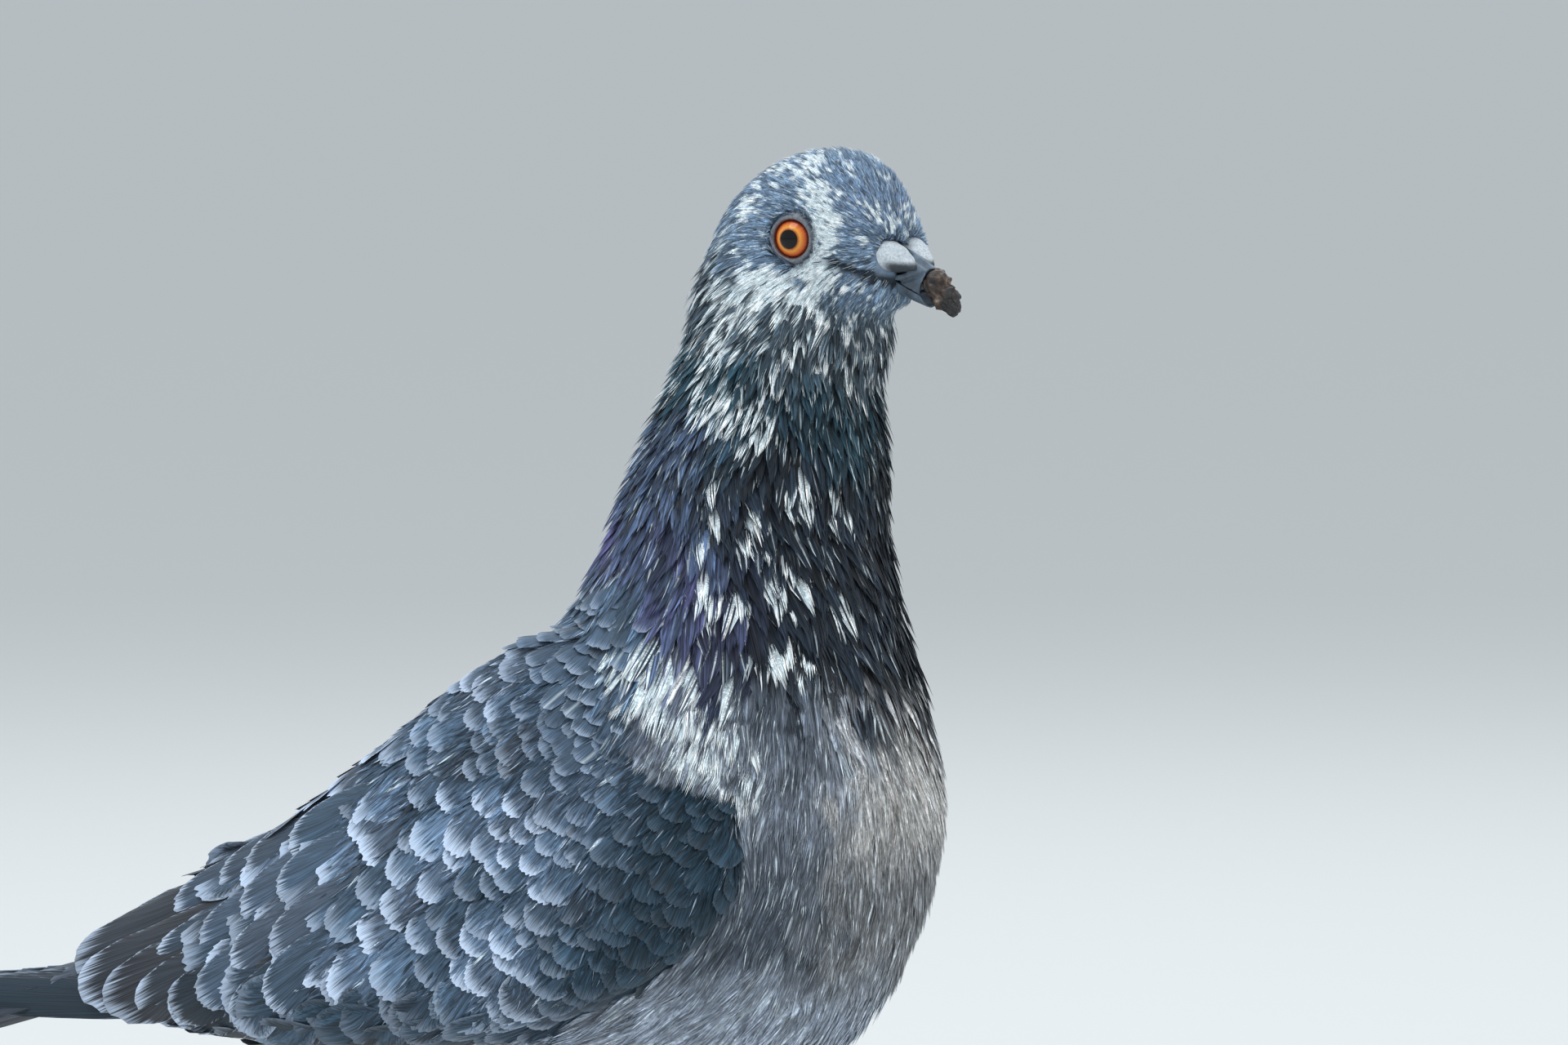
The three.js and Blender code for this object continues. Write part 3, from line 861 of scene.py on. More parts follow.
class PigeonSizes(bpy.types.PropertyGroup):
    skin_voxel: length("Skin fineness", "Spacing of the skin's mesh", 0.0012)
    leg_voxel: length("Leg fineness", "Spacing of the bare legs' mesh", 0.0005)
    head_depth: length("Head coat", "Depth of the head's feathers", 0.0009)
    neck_depth: length("Neck coat", "Depth of the neck's feathers", 0.0021)
    body_depth: length("Body coat", "Depth of the body's feathers", 0.0026)
    wing_depth: length("Wing coat", "Depth of the wings' coverts", 0.0016)
    iris_radius: length("Iris", "Radius of the coloured ring", 0.0036)
    pupil_radius: length("Pupil", "Radius of the pupil", 0.0019)
    head_tufts: amount("Head tufts", "In each coat", 9000)
    wing_barbs: amount("Wing barbs", "On each wing", 4000)
    neck_tufts: amount("Neck undercoat", "How many", 4300)
    hackles: amount("Neck feathers", "How many", 3300)
    breast_tufts: amount("Breast feathers", "In each coat", 3700)
    belly_tufts: amount("Belly feathers", "How many", 4200)
    back_tufts: amount("Back feathers", "How many", 700)


class PigeonColours(bpy.types.PropertyGroup):
    head_slate: colour("Head", "Slate of the head", (0.145, 0.22, 0.32))
    forehead: colour("Forehead", "Slate above the bill", (0.165, 0.25, 0.38))
    throat: colour("Throat", "Below the bill", (0.048, 0.072, 0.095))
    neck_dark: colour("Neck", "Front of the neck", (0.009, 0.017, 0.029))
    neck_green: colour("Upper neck", "Green-blue gloss", (0.013, 0.058, 0.085))
    neck_violet: colour("Lower neck", "Violet gloss", (0.075, 0.07, 0.18))
    nape: colour("Nape", "Slate behind the neck", (0.042, 0.066, 0.118))
    white: colour("White", "White feathers", (0.84, 0.95, 1.0))
    breast: colour("Breast", "Pale breast", (0.185, 0.215, 0.265))
    # The breast's real darker mottles, and the painted shade low on its front.
    breast_mottle_and_shade: colour("Breast mottles", "Darker breast feathers", (0.062, 0.082, 0.11))
    # Painted light: the warm pale colour of the lit front edge of the breast.
    lit_breast_front: colour("Breast's middle", "Warm pale front", (0.5, 0.49, 0.48))
    belly: colour("Belly", "Pale belly", (0.32, 0.37, 0.45))
    mantle: colour("Mantle", "Back between the wings", (0.06, 0.098, 0.15))
    rump: colour("Rump", "Rump and tail coverts", (0.03, 0.042, 0.06))
    wing_dark: colour("Wing", "Dark of the wing", (0.0095, 0.027, 0.044))
    wing_grey: colour("Wing grey", "Worn grey coverts", (0.15, 0.225, 0.34))
    wing_brown: colour("Wing brown", "Worn brown quills", (0.05, 0.05, 0.06))
    fringe: colour("Fringe", "Pale edges of the wing's feathers", (0.68, 0.8, 1.0))
    leg: colour("Legs", "Bare red legs", (0.42, 0.1, 0.085))
    horn: colour("Bill", "Slate bill", (0.07, 0.1, 0.135))
    cere: colour("Cere", "Chalky lobes over the bill", (0.68, 0.74, 0.79))
    iris: colour("Iris", "Orange of the eye", (0.72, 0.19, 0.035))
    lid: colour("Eye ring", "Bare grey ring round the eye", (0.15, 0.165, 0.19))
    lid_edge: colour("Lid edge", "Inner edge of the ring", (0.1, 0.03, 0.02))


def tinted(points, colours, rng, spread, most, few):
    """Each feather's colour, and its white barbs: most of them by chance of the markings, or
    a few."""
    plume, white = markings(points, colours)
    flagged = rng.uniform(size=len(points)) < white
    tints = plume * rng.normal(1, spread, size=(len(points), 1)).clip(0.5, 1.6)
    return {"tints": tints, "pale": (flagged, most, few, colours.white)}


# ---- The pieces ----


class PigeonPiece:
    """What the operators share."""

    bl_options = {"REGISTER", "UNDO"}

    def execute(self, context):
        sizes, colours = context.scene.pigeon_sizes, context.scene.pigeon_colours
        sizes = {name: getattr(sizes, name) for name in sizes.__annotations__}
        for name, size in sizes.items():
            if isinstance(size, float):
                sizes[name] = size / MM
        colours = {name: np.array(getattr(colours, name)) for name in colours.__annotations__}
        self.make(SimpleNamespace(**sizes), SimpleNamespace(**colours))
        return {"FINISHED"}


def coat_depth(sizes, flesh, points):
    """How deep the feathers are over each place of the skin."""
    owners = flesh.owner(points)
    along = along_body(points)[0]
    depth = np.full(len(points), sizes.body_depth)
    upper = flesh.belongs(owners, "head", "neck")
    grade = between(sizes.head_depth, sizes.neck_depth, ease(0.3, 0.42, along))
    depth[upper] = grade[upper]
    depth[flesh.belongs(owners, "wing")] = sizes.wing_depth
    hock = flesh.belongs(owners, "thigh", "tarsus")
    depth[hock] *= between(0.5, 1, ease(HOCK, HOCK + 16, points[hock, 2]))
    for eye in EYES.values():
        depth *= 0.35 + 0.65 * ease(5, 9, norms(points - eye))
    bill = norms((in_bill(points) - (3, 0, 1)) * (1, 0.8, 1))
    depth = between(-0.45, depth, ease(4.5, 9, bill))
    return between(depth, 0.4, ease(-84, -118, in_body(points)[:, 0]))


def scuted(mesh):
    """Raises plates down the front of the legs and along the toes, and grain behind."""
    points, normals = places(mesh), facings(mesh)
    for sign in SIDES.values():
        ankle = np.array([BODY_ZERO[0] - 19, sign * 21.5, 0])
        mine = np.sign(points[:, 1]) == sign
        out = norms((points - ankle)[:, :2])
        on_shank = points[:, 2] > 6
        plate = np.where(on_shank, points[:, 2] / 2.3, out / 1.9)
        front = np.where(on_shank, ease(-0.1, 0.5, normals[:, 0]), ease(0.0, 0.6, normals[:, 2]))
        ridge = 1 - np.abs(2 * (plate % 1) - 1) ** 5
        points += normals * (mine * front * (ridge - 0.8) * 0.3)[:, None]
    grain = mottle(points, 1.5, 21)
    points += normals * (0.07 * grain * (points[:, 2] > 0.6))[:, None]
    points[:, 2] = np.maximum(points[:, 2], 0)
    move_to(mesh, points)


def level_cut(mesh, height, keep_above):
    """Takes away what lies on one side of a level cut, and leaves its rims open."""
    with edited(mesh) as bm:
        bmesh.ops.bisect_plane(
            bm, geom=[*bm.verts, *bm.edges, *bm.faces], dist=1e-7,
            plane_co=(0, 0, height * MM), plane_no=(0, 0, 1),
            clear_inner=keep_above, clear_outer=not keep_above,
        )


EYE_HOLE = 5.6  # radius of the hole in the skin that an eye's ring is set in
RING_EDGE = 5.3  # radius that the ring's own colour reaches


def off_sight(points, side):
    """How far points lie before an eye's middle, and their offset from its line of sight."""
    offset = points - EYES[side]
    depth = offset @ SIGHTS[side]
    return depth, offset - depth[:, None] * SIGHTS[side]


def cut_for_eye(mesh, side):
    depth, aside = off_sight(values(mesh.polygons, "center", 3) / MM, side)
    inside = (depth > 0) & (norms(aside) < EYE_HOLE)
    with edited(mesh) as bm:
        bm.faces.ensure_lookup_table()
        gone = [bm.faces[index] for index in np.flatnonzero(inside).tolist()]
        bmesh.ops.delete(bm, geom=gone, context="FACES")


# The section of the bare ring round an eye, from its rim to its back inside the head: how far
# from the line of sight, and how far along it.
RING_SECTION = [
    (5.1, 2.8), (4.8, 3.3), (4.45, 3.6), (4.1, 3.62), (3.85, 3.4), (3.7, 3.1), (3.6, 2.4),
    (2, 1), (0, 1),
]


def eye_ring(side):
    """The bare ring of skin round an eye, spun round its line of sight, with a back inside."""
    mesh = bpy.data.meshes.new("ring")
    with edited(mesh) as bm:
        corners = [bm.verts.new((aside, 0, rise)) for aside, rise in RING_SECTION]
        lines = [bm.edges.new(pair) for pair in zip(corners, corners[1:])]
        bmesh.ops.spin(
            bm, geom=corners + lines, cent=(0, 0, 0), axis=(0, 0, 1), angle=2 * math.pi, steps=72,
            use_merge=True,
        )
        bmesh.ops.remove_doubles(bm, verts=bm.verts, dist=1e-4)
        ahead = np.cross(SIGHTS[side], HEAD_UP)
        for vert in bm.verts:
            turn = math.atan2(vert.co.y, vert.co.x)
            far = math.hypot(vert.co.x, vert.co.y)
            swell = 0.1 * math.sin(turn * 23) * math.sin(far * 7) * float(ease(3.8, 4.2, far))
            aside = ahead * vert.co.x + HEAD_UP * vert.co.y
            vert.co = Vector((EYES[side] + aside + SIGHTS[side] * (vert.co.z + swell)) * MM)
    return mesh


def bridge_rims(bm, near, reach):
    """Joins the two open rims that lie about one place."""
    near = Vector(np.asarray(near) * MM)
    rims = [edge for edge in bm.edges if edge.is_boundary]
    rims = [edge for edge in rims if (edge.verts[0].co - near).length < reach * MM]
    bmesh.ops.bridge_loops(bm, edges=rims)


HOCK = 43  # height at which the coarse skin of the body meets the fine skin of the legs
LEG_TOP = 36  # height of the bare leg's own upper end
SHANK_ASIDE = 20.5  # how far each leg's knuckle is from the middle
# Above the bare leg, up to the hock: height, how far behind the body's zero, and radius.
KNUCKLE = [(37.2, -30.8, 3.6), (38.6, -31.1, 3.75), (40.0, -31.0, 3.9), (41.5, -30.5, 4.05)]


def knuckled(mesh):
    """Carries the open upper ends of both legs on round the hock's knuckle."""
    with edited(mesh) as bm:
        for height, back, radius in KNUCKLE:
            rims = [edge for edge in bm.edges if edge.is_boundary]
            for vert in bmesh.ops.extrude_edge_only(bm, edges=rims)["geom"]:
                if isinstance(vert, bmesh.types.BMVert):
                    aside = math.copysign(SHANK_ASIDE, vert.co.y)
                    middle = Vector((BODY_ZERO[0] + back, aside, height)) * MM
                    out = vert.co - middle
                    out.z = 0
                    vert.co = middle + out.normalized() * radius * MM


SWELL = 0.2  # how far the solids are pushed out, so that they run together in one skin


class PIGEON_OT_skin(PigeonPiece, bpy.types.Operator):
    """Makes the one skin that stands for all nodes of flesh, with bare legs and eye rings"""

    bl_idname = "pigeon.skin"
    bl_label = "Skin"

    def make(self, sizes, colours):
        flesh = Flesh(FEATHERED + BARE)
        whole = self.shaped(sizes, flesh)
        whole.shade_smooth()
        self.coloured(whole, colours, flesh)

        paint = Paint("skin", Roughness=0.6)
        tint, coat = paint.plumage("Color"), paint.plumage("Alpha")
        grain = paint.noise(paint.place(), 900, 3.0)
        cells = {"Vector": paint.place(), "Scale": 850}
        cells = paint.node("ShaderNodeTexVoronoi", {"feature": "DISTANCE_TO_EDGE"}, cells)
        # Painted shade: the creases between the bare legs' scales are painted darker, and the bump
        # also sinks them.
        crease = (cells.eased(0.0, 0.12) + coat).smaller(1.0)
        bright = 0.7 + 0.3 * crease + 0.35 * grain
        paint.feed(Base_Color=paint.brightened(tint, bright), Roughness=0.45 + 0.3 * coat)
        paint.bump(crease * 0.6 + grain * 0.4, 0.5, 0.15)
        add_object("skin", whole, paint.material, [*FEATHERED, *BARE])

    def shaped(self, sizes, flesh):
        """The body sunk by its coat's depth, with fine legs and eye rings bridged to it."""
        body = remeshed(FEATHERED, sizes.skin_voxel, 3, SWELL)
        points = places(body)
        depth = coat_depth(sizes, flesh, points) + SWELL
        move_to(body, points - facings(body) * depth[:, None])
        smoothed(body, 4)
        level_cut(body, HOCK, keep_above=True)
        for side in SIDES:
            cut_for_eye(body, side)
        legs = remeshed(BARE, sizes.leg_voxel, 2, SWELL)
        move_to(legs, places(legs) - facings(legs) * SWELL)
        scuted(legs)
        level_cut(legs, LEG_TOP, keep_above=False)
        knuckled(legs)
        firm = len(body.polygons) + len(legs.polygons)
        whole = joined([body, legs, *map(eye_ring, SIDES)], "skin")
        with edited(whole) as bm:
            for side, sign in SIDES.items():
                bridge_rims(bm, (BODY_ZERO[0] - 31, sign * SHANK_ASIDE, HOCK), 14)
                bridge_rims(bm, EYES[side], 11)
            bmesh.ops.recalc_face_normals(bm, faces=bm.faces)
        return ordered(whole, firm)

    def coloured(self, whole, colours, flesh):
        """Colours the ground under the feathers, the bare legs and the eye rings."""
        points = places(whole)
        plume, white = markings(points, colours)
        # Painted shade: the ground under the feathers is painted darker than the plumage, and under
        # the wings in the wing's dark, so that the gaps between feathers look shaded.
        tints = blend(plume, colours.white, white * 0.8) * 0.7
        tints[flesh.belongs(flesh.owner(points), "wing")] = colours.wing_dark
        feathered = ease(HOCK - 3, HOCK + 2, points[:, 2])
        tints = blend(colours.leg, tints, feathered)
        for side in SIDES:
            depth, aside = off_sight(points, side)
            flat = norms(aside)
            on_ring = (depth > 0) & (flat < RING_EDGE)
            ring = blend(colours.lid_edge, colours.lid, ease(3.8, 4.05, flat))
            tints[on_ring] = ring[on_ring]
            feathered[on_ring] = 0
        paint_points(whole, tints, feathered)


def skin_ground():
    """The skin to plant on, with the CAD node that each of its triangles belongs to."""
    ground = Ground(bpy.data.objects["skin"].data)
    flesh = Flesh(FEATHERED + BARE)
    return ground, flesh, flesh.owner(ground.middles)


OUT_OF_REACH = 99.0
RING_CLEAR = 4.75  # no feather comes nearer to an eye's line of sight


def off_the_eyes(roots, lengths):
    """Shortens feathers that would reach an eye, and tells which ones stand clear of it."""
    room = np.full(len(roots), OUT_OF_REACH)
    for side, eye in EYES.items():
        depth, flat = off_sight(roots, side)
        here = np.where(depth > 0, norms(flat) - RING_CLEAR, OUT_OF_REACH)
        toward = (unit(flat) * lie(roots, unit(roots - eye))).sum(-1) < -0.1
        lengths = np.where(toward, np.minimum(lengths, np.maximum(here, 0.8)), lengths)
        room = np.minimum(room, here)
    return lengths, room > 0


# Room kept free of feathers for each lobe of the cere, in the bill's own axes.
LOBE_MIDDLE = (5.7, 3, 1.6)
LOBE_HALF = (5.2, 3.4, 3.0)


class PIGEON_OT_head_feathers(PigeonPiece, bpy.types.Operator):
    """Plants the short hair-like feathers of the head, smallest round the bill and the eyes"""

    bl_idname = "pigeon.head_feathers"
    bl_label = "Head feathers"

    def make(self, sizes, colours):
        ground, flesh, owners = skin_ground()
        along = along_body(ground.middles)[0]
        density = flesh.belongs(owners, "head", "neck") * ease(0.44, 0.34, along)
        density *= 1 + 1.0 * ease(0, 14, in_head(ground.middles)[:, 0])
        for eye in EYES.values():
            density *= 1 + 1.6 * ease(9, 6, norms(ground.middles - eye))
        gape = in_bill(ground.middles)
        mouth = ease(1.1, 0.4, np.abs(gape[:, 2] + GAPE_DROP)) * ease(-4.5, -2.5, gape[:, 0])
        density *= 1 - mouth
        paint = feather_paint("head_feathers", colours.white, 6.0, 0.5)
        for coat, name in enumerate(("head_under_feathers", "head_feathers")):
            rng = np.random.default_rng(41 + coat)
            roots, normals = ground.scatter(sizes.head_tufts, density, 43 + coat)
            head = in_head(roots)
            lengths = between(6.4, 3.1, ease(-14, 13, head[:, 0] + 0.4 * head[:, 2]))
            lengths *= 1 + 0.4 * ease(-5, -11, head[:, 2])
            lengths *= rng.uniform(0.75, 1.25, len(roots))
            lengths, clear = off_the_eyes(roots, lengths)
            roots, normals, lengths = kept(clear, roots, normals, lengths)
            paths, facing = ground.follow(roots, normals, lengths, 2, ruffle=0.17)
            gape = in_bill(paths.reshape(-1, 3)).reshape(paths.shape)
            open_half = between(0.05, 0.34, ease(-3, 1, gape[:, :, 0]))
            across = (np.abs(gape[:, :, 2] + GAPE_DROP) < open_half) & (gape[:, :, 0] > -3)
            mirrored = gape[:, 0] * (1, 0, 1) + np.abs(gape[:, 0]) * (0, 1, 0)
            in_lobe = norms((mirrored - LOBE_MIDDLE) / LOBE_HALF) < 1
            keep = ~across.any(axis=1) & ~in_lobe
            lengths, paths, facing = kept(keep, lengths, paths, facing)
            count = len(paths)
            look = tinted(paths[:, 1], colours, rng, 0.2, 0.95, 0.14)
            # Painted shade: the undercoat is painted darker than the coat over it.
            look["tints"] *= (0.72, 1.1)[coat]
            planted(
                name, paint, "head_feathers", tuft(7, 2, 1 + coat), paths, facing,
                half=lengths * rng.uniform(0.11, 0.16, count), bury=0.25,
                stand=sizes.head_depth * rng.uniform(0.3, 1.0 + 0.5 * coat, count),
                streak=0.3, **look,
            )


def over_wing(flesh, points):
    """Which points lie on a wing below the border that the neck's and breast's feathers keep."""
    x, _, z = in_body(points).T
    return flesh.belongs(flesh.owner(points), "wing") & (z < 150.5 - 0.74 * (x - 2))


class PIGEON_OT_neck_feathers(PigeonPiece, bpy.types.Operator):
    """Plants the pointed glossy feathers of the neck over a soft undercoat"""

    bl_idname = "pigeon.neck_feathers"
    bl_label = "Neck feathers"

    def make(self, sizes, colours):
        ground, flesh, owners = skin_ground()
        height = in_body(ground.middles)[:, 2]
        along, share, _ = along_body(ground.middles)
        trunk = flesh.belongs(owners, "trunk") & (height > 138) & (share > 0.05)
        zone = (flesh.belongs(owners, "neck", "head") * ease(0.31, 0.38, along)).clip(0, 1)
        zone = np.maximum(zone, trunk)
        paint = feather_paint("neck_feathers", colours.white, 8.0, 0.36, metallic=0.15)
        coats = {
            "neck_under_feathers": (tuft(7, 2, 3), sizes.neck_tufts, 0.85, 0.2, 0.7),
            "neck_feathers": (tuft(11, 3, 4, point=0.42), sizes.hackles, 1.05, 0.6, 1.25),
        }
        depth = sizes.neck_depth
        for seed, (name, (pattern, number, long, low, high)) in enumerate(coats.items()):
            rng = np.random.default_rng(50 + seed)
            weight = zone * (1 + 1.8 * ease(165, 214, height))
            roots, normals = ground.scatter(number, weight, 55 + seed)
            z = in_body(roots)[:, 2]
            lengths = between(12.5, 6.6, ease(152, 222, z)) * rng.uniform(0.75, 1.25, len(roots))
            paths, facing = ground.follow(roots, normals, lengths * long, 4, ruffle=0.25)
            keep = ~over_wing(flesh, paths[:, -1])
            roots, paths, facing, lengths = kept(keep, roots, paths, facing, lengths)
            count = len(roots)
            clumps = 0.2 * mottle(roots, 11, 57 + seed)
            look = tinted(paths[:, 3], colours, rng, 0.34, 0.66, 0.07)
            # Painted shade: the undercoat is painted much darker than the hackles over it, for the
            # dark gaps between them.
            look["tints"] *= (0.5, 1.15)[seed]
            slim = between(1, 0.7, ease(190, 206, in_body(roots)[:, 2]))
            planted(
                name, paint, "neck_feathers", pattern, paths, facing,
                half=lengths * slim * rng.uniform(0.15, 0.2, count), bury=0.4,
                stand=depth * (rng.uniform(low, high, count) + clumps), streak=0.42, **look,
            )


HEM = 37.5  # height at which the feathers of the thigh end


class PIGEON_OT_breast_feathers(PigeonPiece, bpy.types.Operator):
    """Plants the soft feathers of the breast, belly, flanks and thighs"""

    bl_idname = "pigeon.breast_feathers"
    bl_label = "Breast and belly"

    def make(self, sizes, colours):
        ground, flesh, owners = skin_ground()
        height = in_body(ground.middles)[:, 2]
        _, share, _ = along_body(ground.middles)
        trunk = flesh.belongs(owners, "trunk") & (share > 0.3)
        thigh = flesh.belongs(owners, "thigh", "tarsus") & (height > HEM + 2)
        breast = trunk & (height > 98) & (height < 156)
        zones = {
            "breast_under_feathers": (breast, sizes.breast_tufts, 14),
            "breast_feathers": (breast, sizes.breast_tufts, 13),
            "belly_feathers": ((trunk & (height <= 102)) | thigh, sizes.belly_tufts, 14),
        }
        paint = feather_paint("breast_feathers", colours.white, 9.0, 0.6)
        for seed, (name, (zone, number, long)) in enumerate(zones.items()):
            rng = np.random.default_rng(60 + seed)
            density = zone * (1 + 1.5 * thigh)
            roots, normals = ground.scatter(number, density, 65 + seed)
            lengths = long * rng.uniform(0.7, 1.2, len(roots))
            legs = flesh.belongs(flesh.owner(roots), "thigh", "tarsus")
            z = roots[:, 2]
            short = lengths * between(0.42, 0.7, ease(42, 58, z))
            lengths = np.where(legs, np.minimum(short, z - HEM), lengths)
            paths, facing = ground.follow(roots, normals, lengths, 4, ruffle=0.2)
            keep = ~over_wing(flesh, paths[:, -1])
            paths, facing, lengths = kept(keep, paths, facing, lengths)
            count = len(paths)
            clumps = 0.2 * mottle(paths[:, 0], 13, 67 + seed)
            planted(
                name, paint, "slate_feathers", tuft(11, 2, 7 + seed, point=0.2), paths, facing,
                half=lengths * rng.uniform(0.13, 0.19, count),
                **tinted(paths[:, 2], colours, rng, 0.17, 0.75, 0.09), bury=0.5,
                stand=sizes.body_depth * (rng.uniform(0.4, 1.05, count) + clumps)
                * between(0.3, 1, ease(38, 54, paths[:, 0, 2])),
                streak=0.28,
            )


WING_REAR = -113  # no feather on a wing's inner face reaches behind this


class PIGEON_OT_back_feathers(PigeonPiece, bpy.types.Operator):
    """Plants the rounded feathers of the back and rump"""

    bl_idname = "pigeon.back_feathers"
    bl_label = "Back and rump"

    def make(self, sizes, colours):
        ground, flesh, owners = skin_ground()
        body = in_body(ground.middles)
        _, share, _ = along_body(ground.middles)
        zone = flesh.belongs(owners, "trunk") & (share < 0.36) & (body[:, 2] < 176)
        inward = -ground.normals[ground.corners].mean(axis=1)[:, 1] * np.sign(body[:, 1])
        zone |= flesh.belongs(owners, "wing") & (body[:, 0] < -45) & (inward > 0.2)
        rng = np.random.default_rng(71)
        roots, normals = ground.scatter(sizes.back_tufts * 12, zone * 1.0, 72)
        gaps = between(3.4, 5.4, ease(-10, -80, in_body(roots)[:, 0]))
        picked = thinned(roots, gaps)
        roots, normals, gaps = kept(picked, roots, normals, gaps)
        lengths = gaps * rng.uniform(2.6, 3.2, len(roots))
        paths, facing = ground.follow(roots, normals, lengths, 4, ruffle=0.15)
        tips = in_body(paths[:, -1])[:, 0]
        keep = (tips > WING_REAR) | ~flesh.belongs(flesh.owner(roots), "wing")
        gaps, paths, facing = kept(keep, gaps, paths, facing)
        count = len(paths)
        paint = feather_paint("back_feathers", colours.fringe, 40.0, 0.55, rim=(0.6, 1.1))
        planted(
            "back_feathers", paint, "slate_feathers",
            vane(10, 7, (0.3, 0.8, 1, 1, 0.95), 0.34, 0.05, 9), paths, facing,
            half=gaps * rng.uniform(0.75, 0.95, count),
            **tinted(paths[:, 3], colours, rng, 0.2, 0.7, 0.02),
            fringe=rng.uniform(0.1, 0.45, count),
            bury=0.5, stand=sizes.body_depth * rng.uniform(0.6, 1.05, count), streak=0.12,
        )


def thinned(points, gaps):
    """Picks, in order, the points that keep their own gap from all picked before."""
    taken, picked = np.empty((0, 3)), []
    for index, point in enumerate(points):
        if len(taken) == 0 or ((taken - point) ** 2).sum(axis=1).min() > gaps[index] ** 2:
            taken = np.vstack([taken, point])
            picked.append(index)
    return np.array(picked)


def wing_lie(points, normals):
    """The lie of the wing's feathers: back and down, less steep high up and near the tips."""
    body = in_body(points)
    steep = between(24, 60, ease(-105, 24, body[:, 0])) - 12 * ease(122, 150, body[:, 2])
    down = np.radians(steep)
    way = np.stack([-np.cos(down), np.zeros(len(body)), -np.sin(down)], axis=1)
    return unit(way - normals * (way * normals).sum(-1, keepdims=True))


def wing_tones(points, colours, rng, spread):
    """The wing's colours at points, and how worn and pale it is there: palest in the middle,
    dark along the front edge and below it."""
    x, _, z = in_body(points).T
    count = len(points)
    front = 14 + 0.35 * (z - 110)
    middle = ease(front, front - 30, x) * ease(74, 92, z)
    worn = ease(-0.9, 0.7, mottle(points, 26, 31) + rng.normal(0, 0.22, count))
    grey = (0.3 + 0.7 * worn) * middle * between(1, 0.75, ease(124, 142, z))
    brown = ease(0.0, 1, mottle(points, 20, 33) + rng.normal(0, 0.3, count))
    tints = blend(colours.wing_dark, colours.wing_grey, grey * 0.6)
    tints = blend(tints, colours.mantle, ease(122, 142, z) * ease(24, 4, x) * 0.7)
    tints = blend(tints, colours.wing_brown, brown * 0.4 * middle)
    # Painted light and shade: the wing's colours are darker towards its rear tips and lighter
    # forward.
    lit = between(0.62, 1.2, ease(-112, -62, x))
    return tints * (lit * rng.normal(1, spread, count).clip(0.5, 1.8))[:, None], grey


COVERT_TRIALS = 12000  # places tried for the coverts of a wing, before they are thinned
WING_NEAR = 3.4  # skin this near to a wing's solid bears its coverts
WING_MIDDLE, WING_SPAN = (-40, 110), 160  # what the baking map of a wing is laid out by


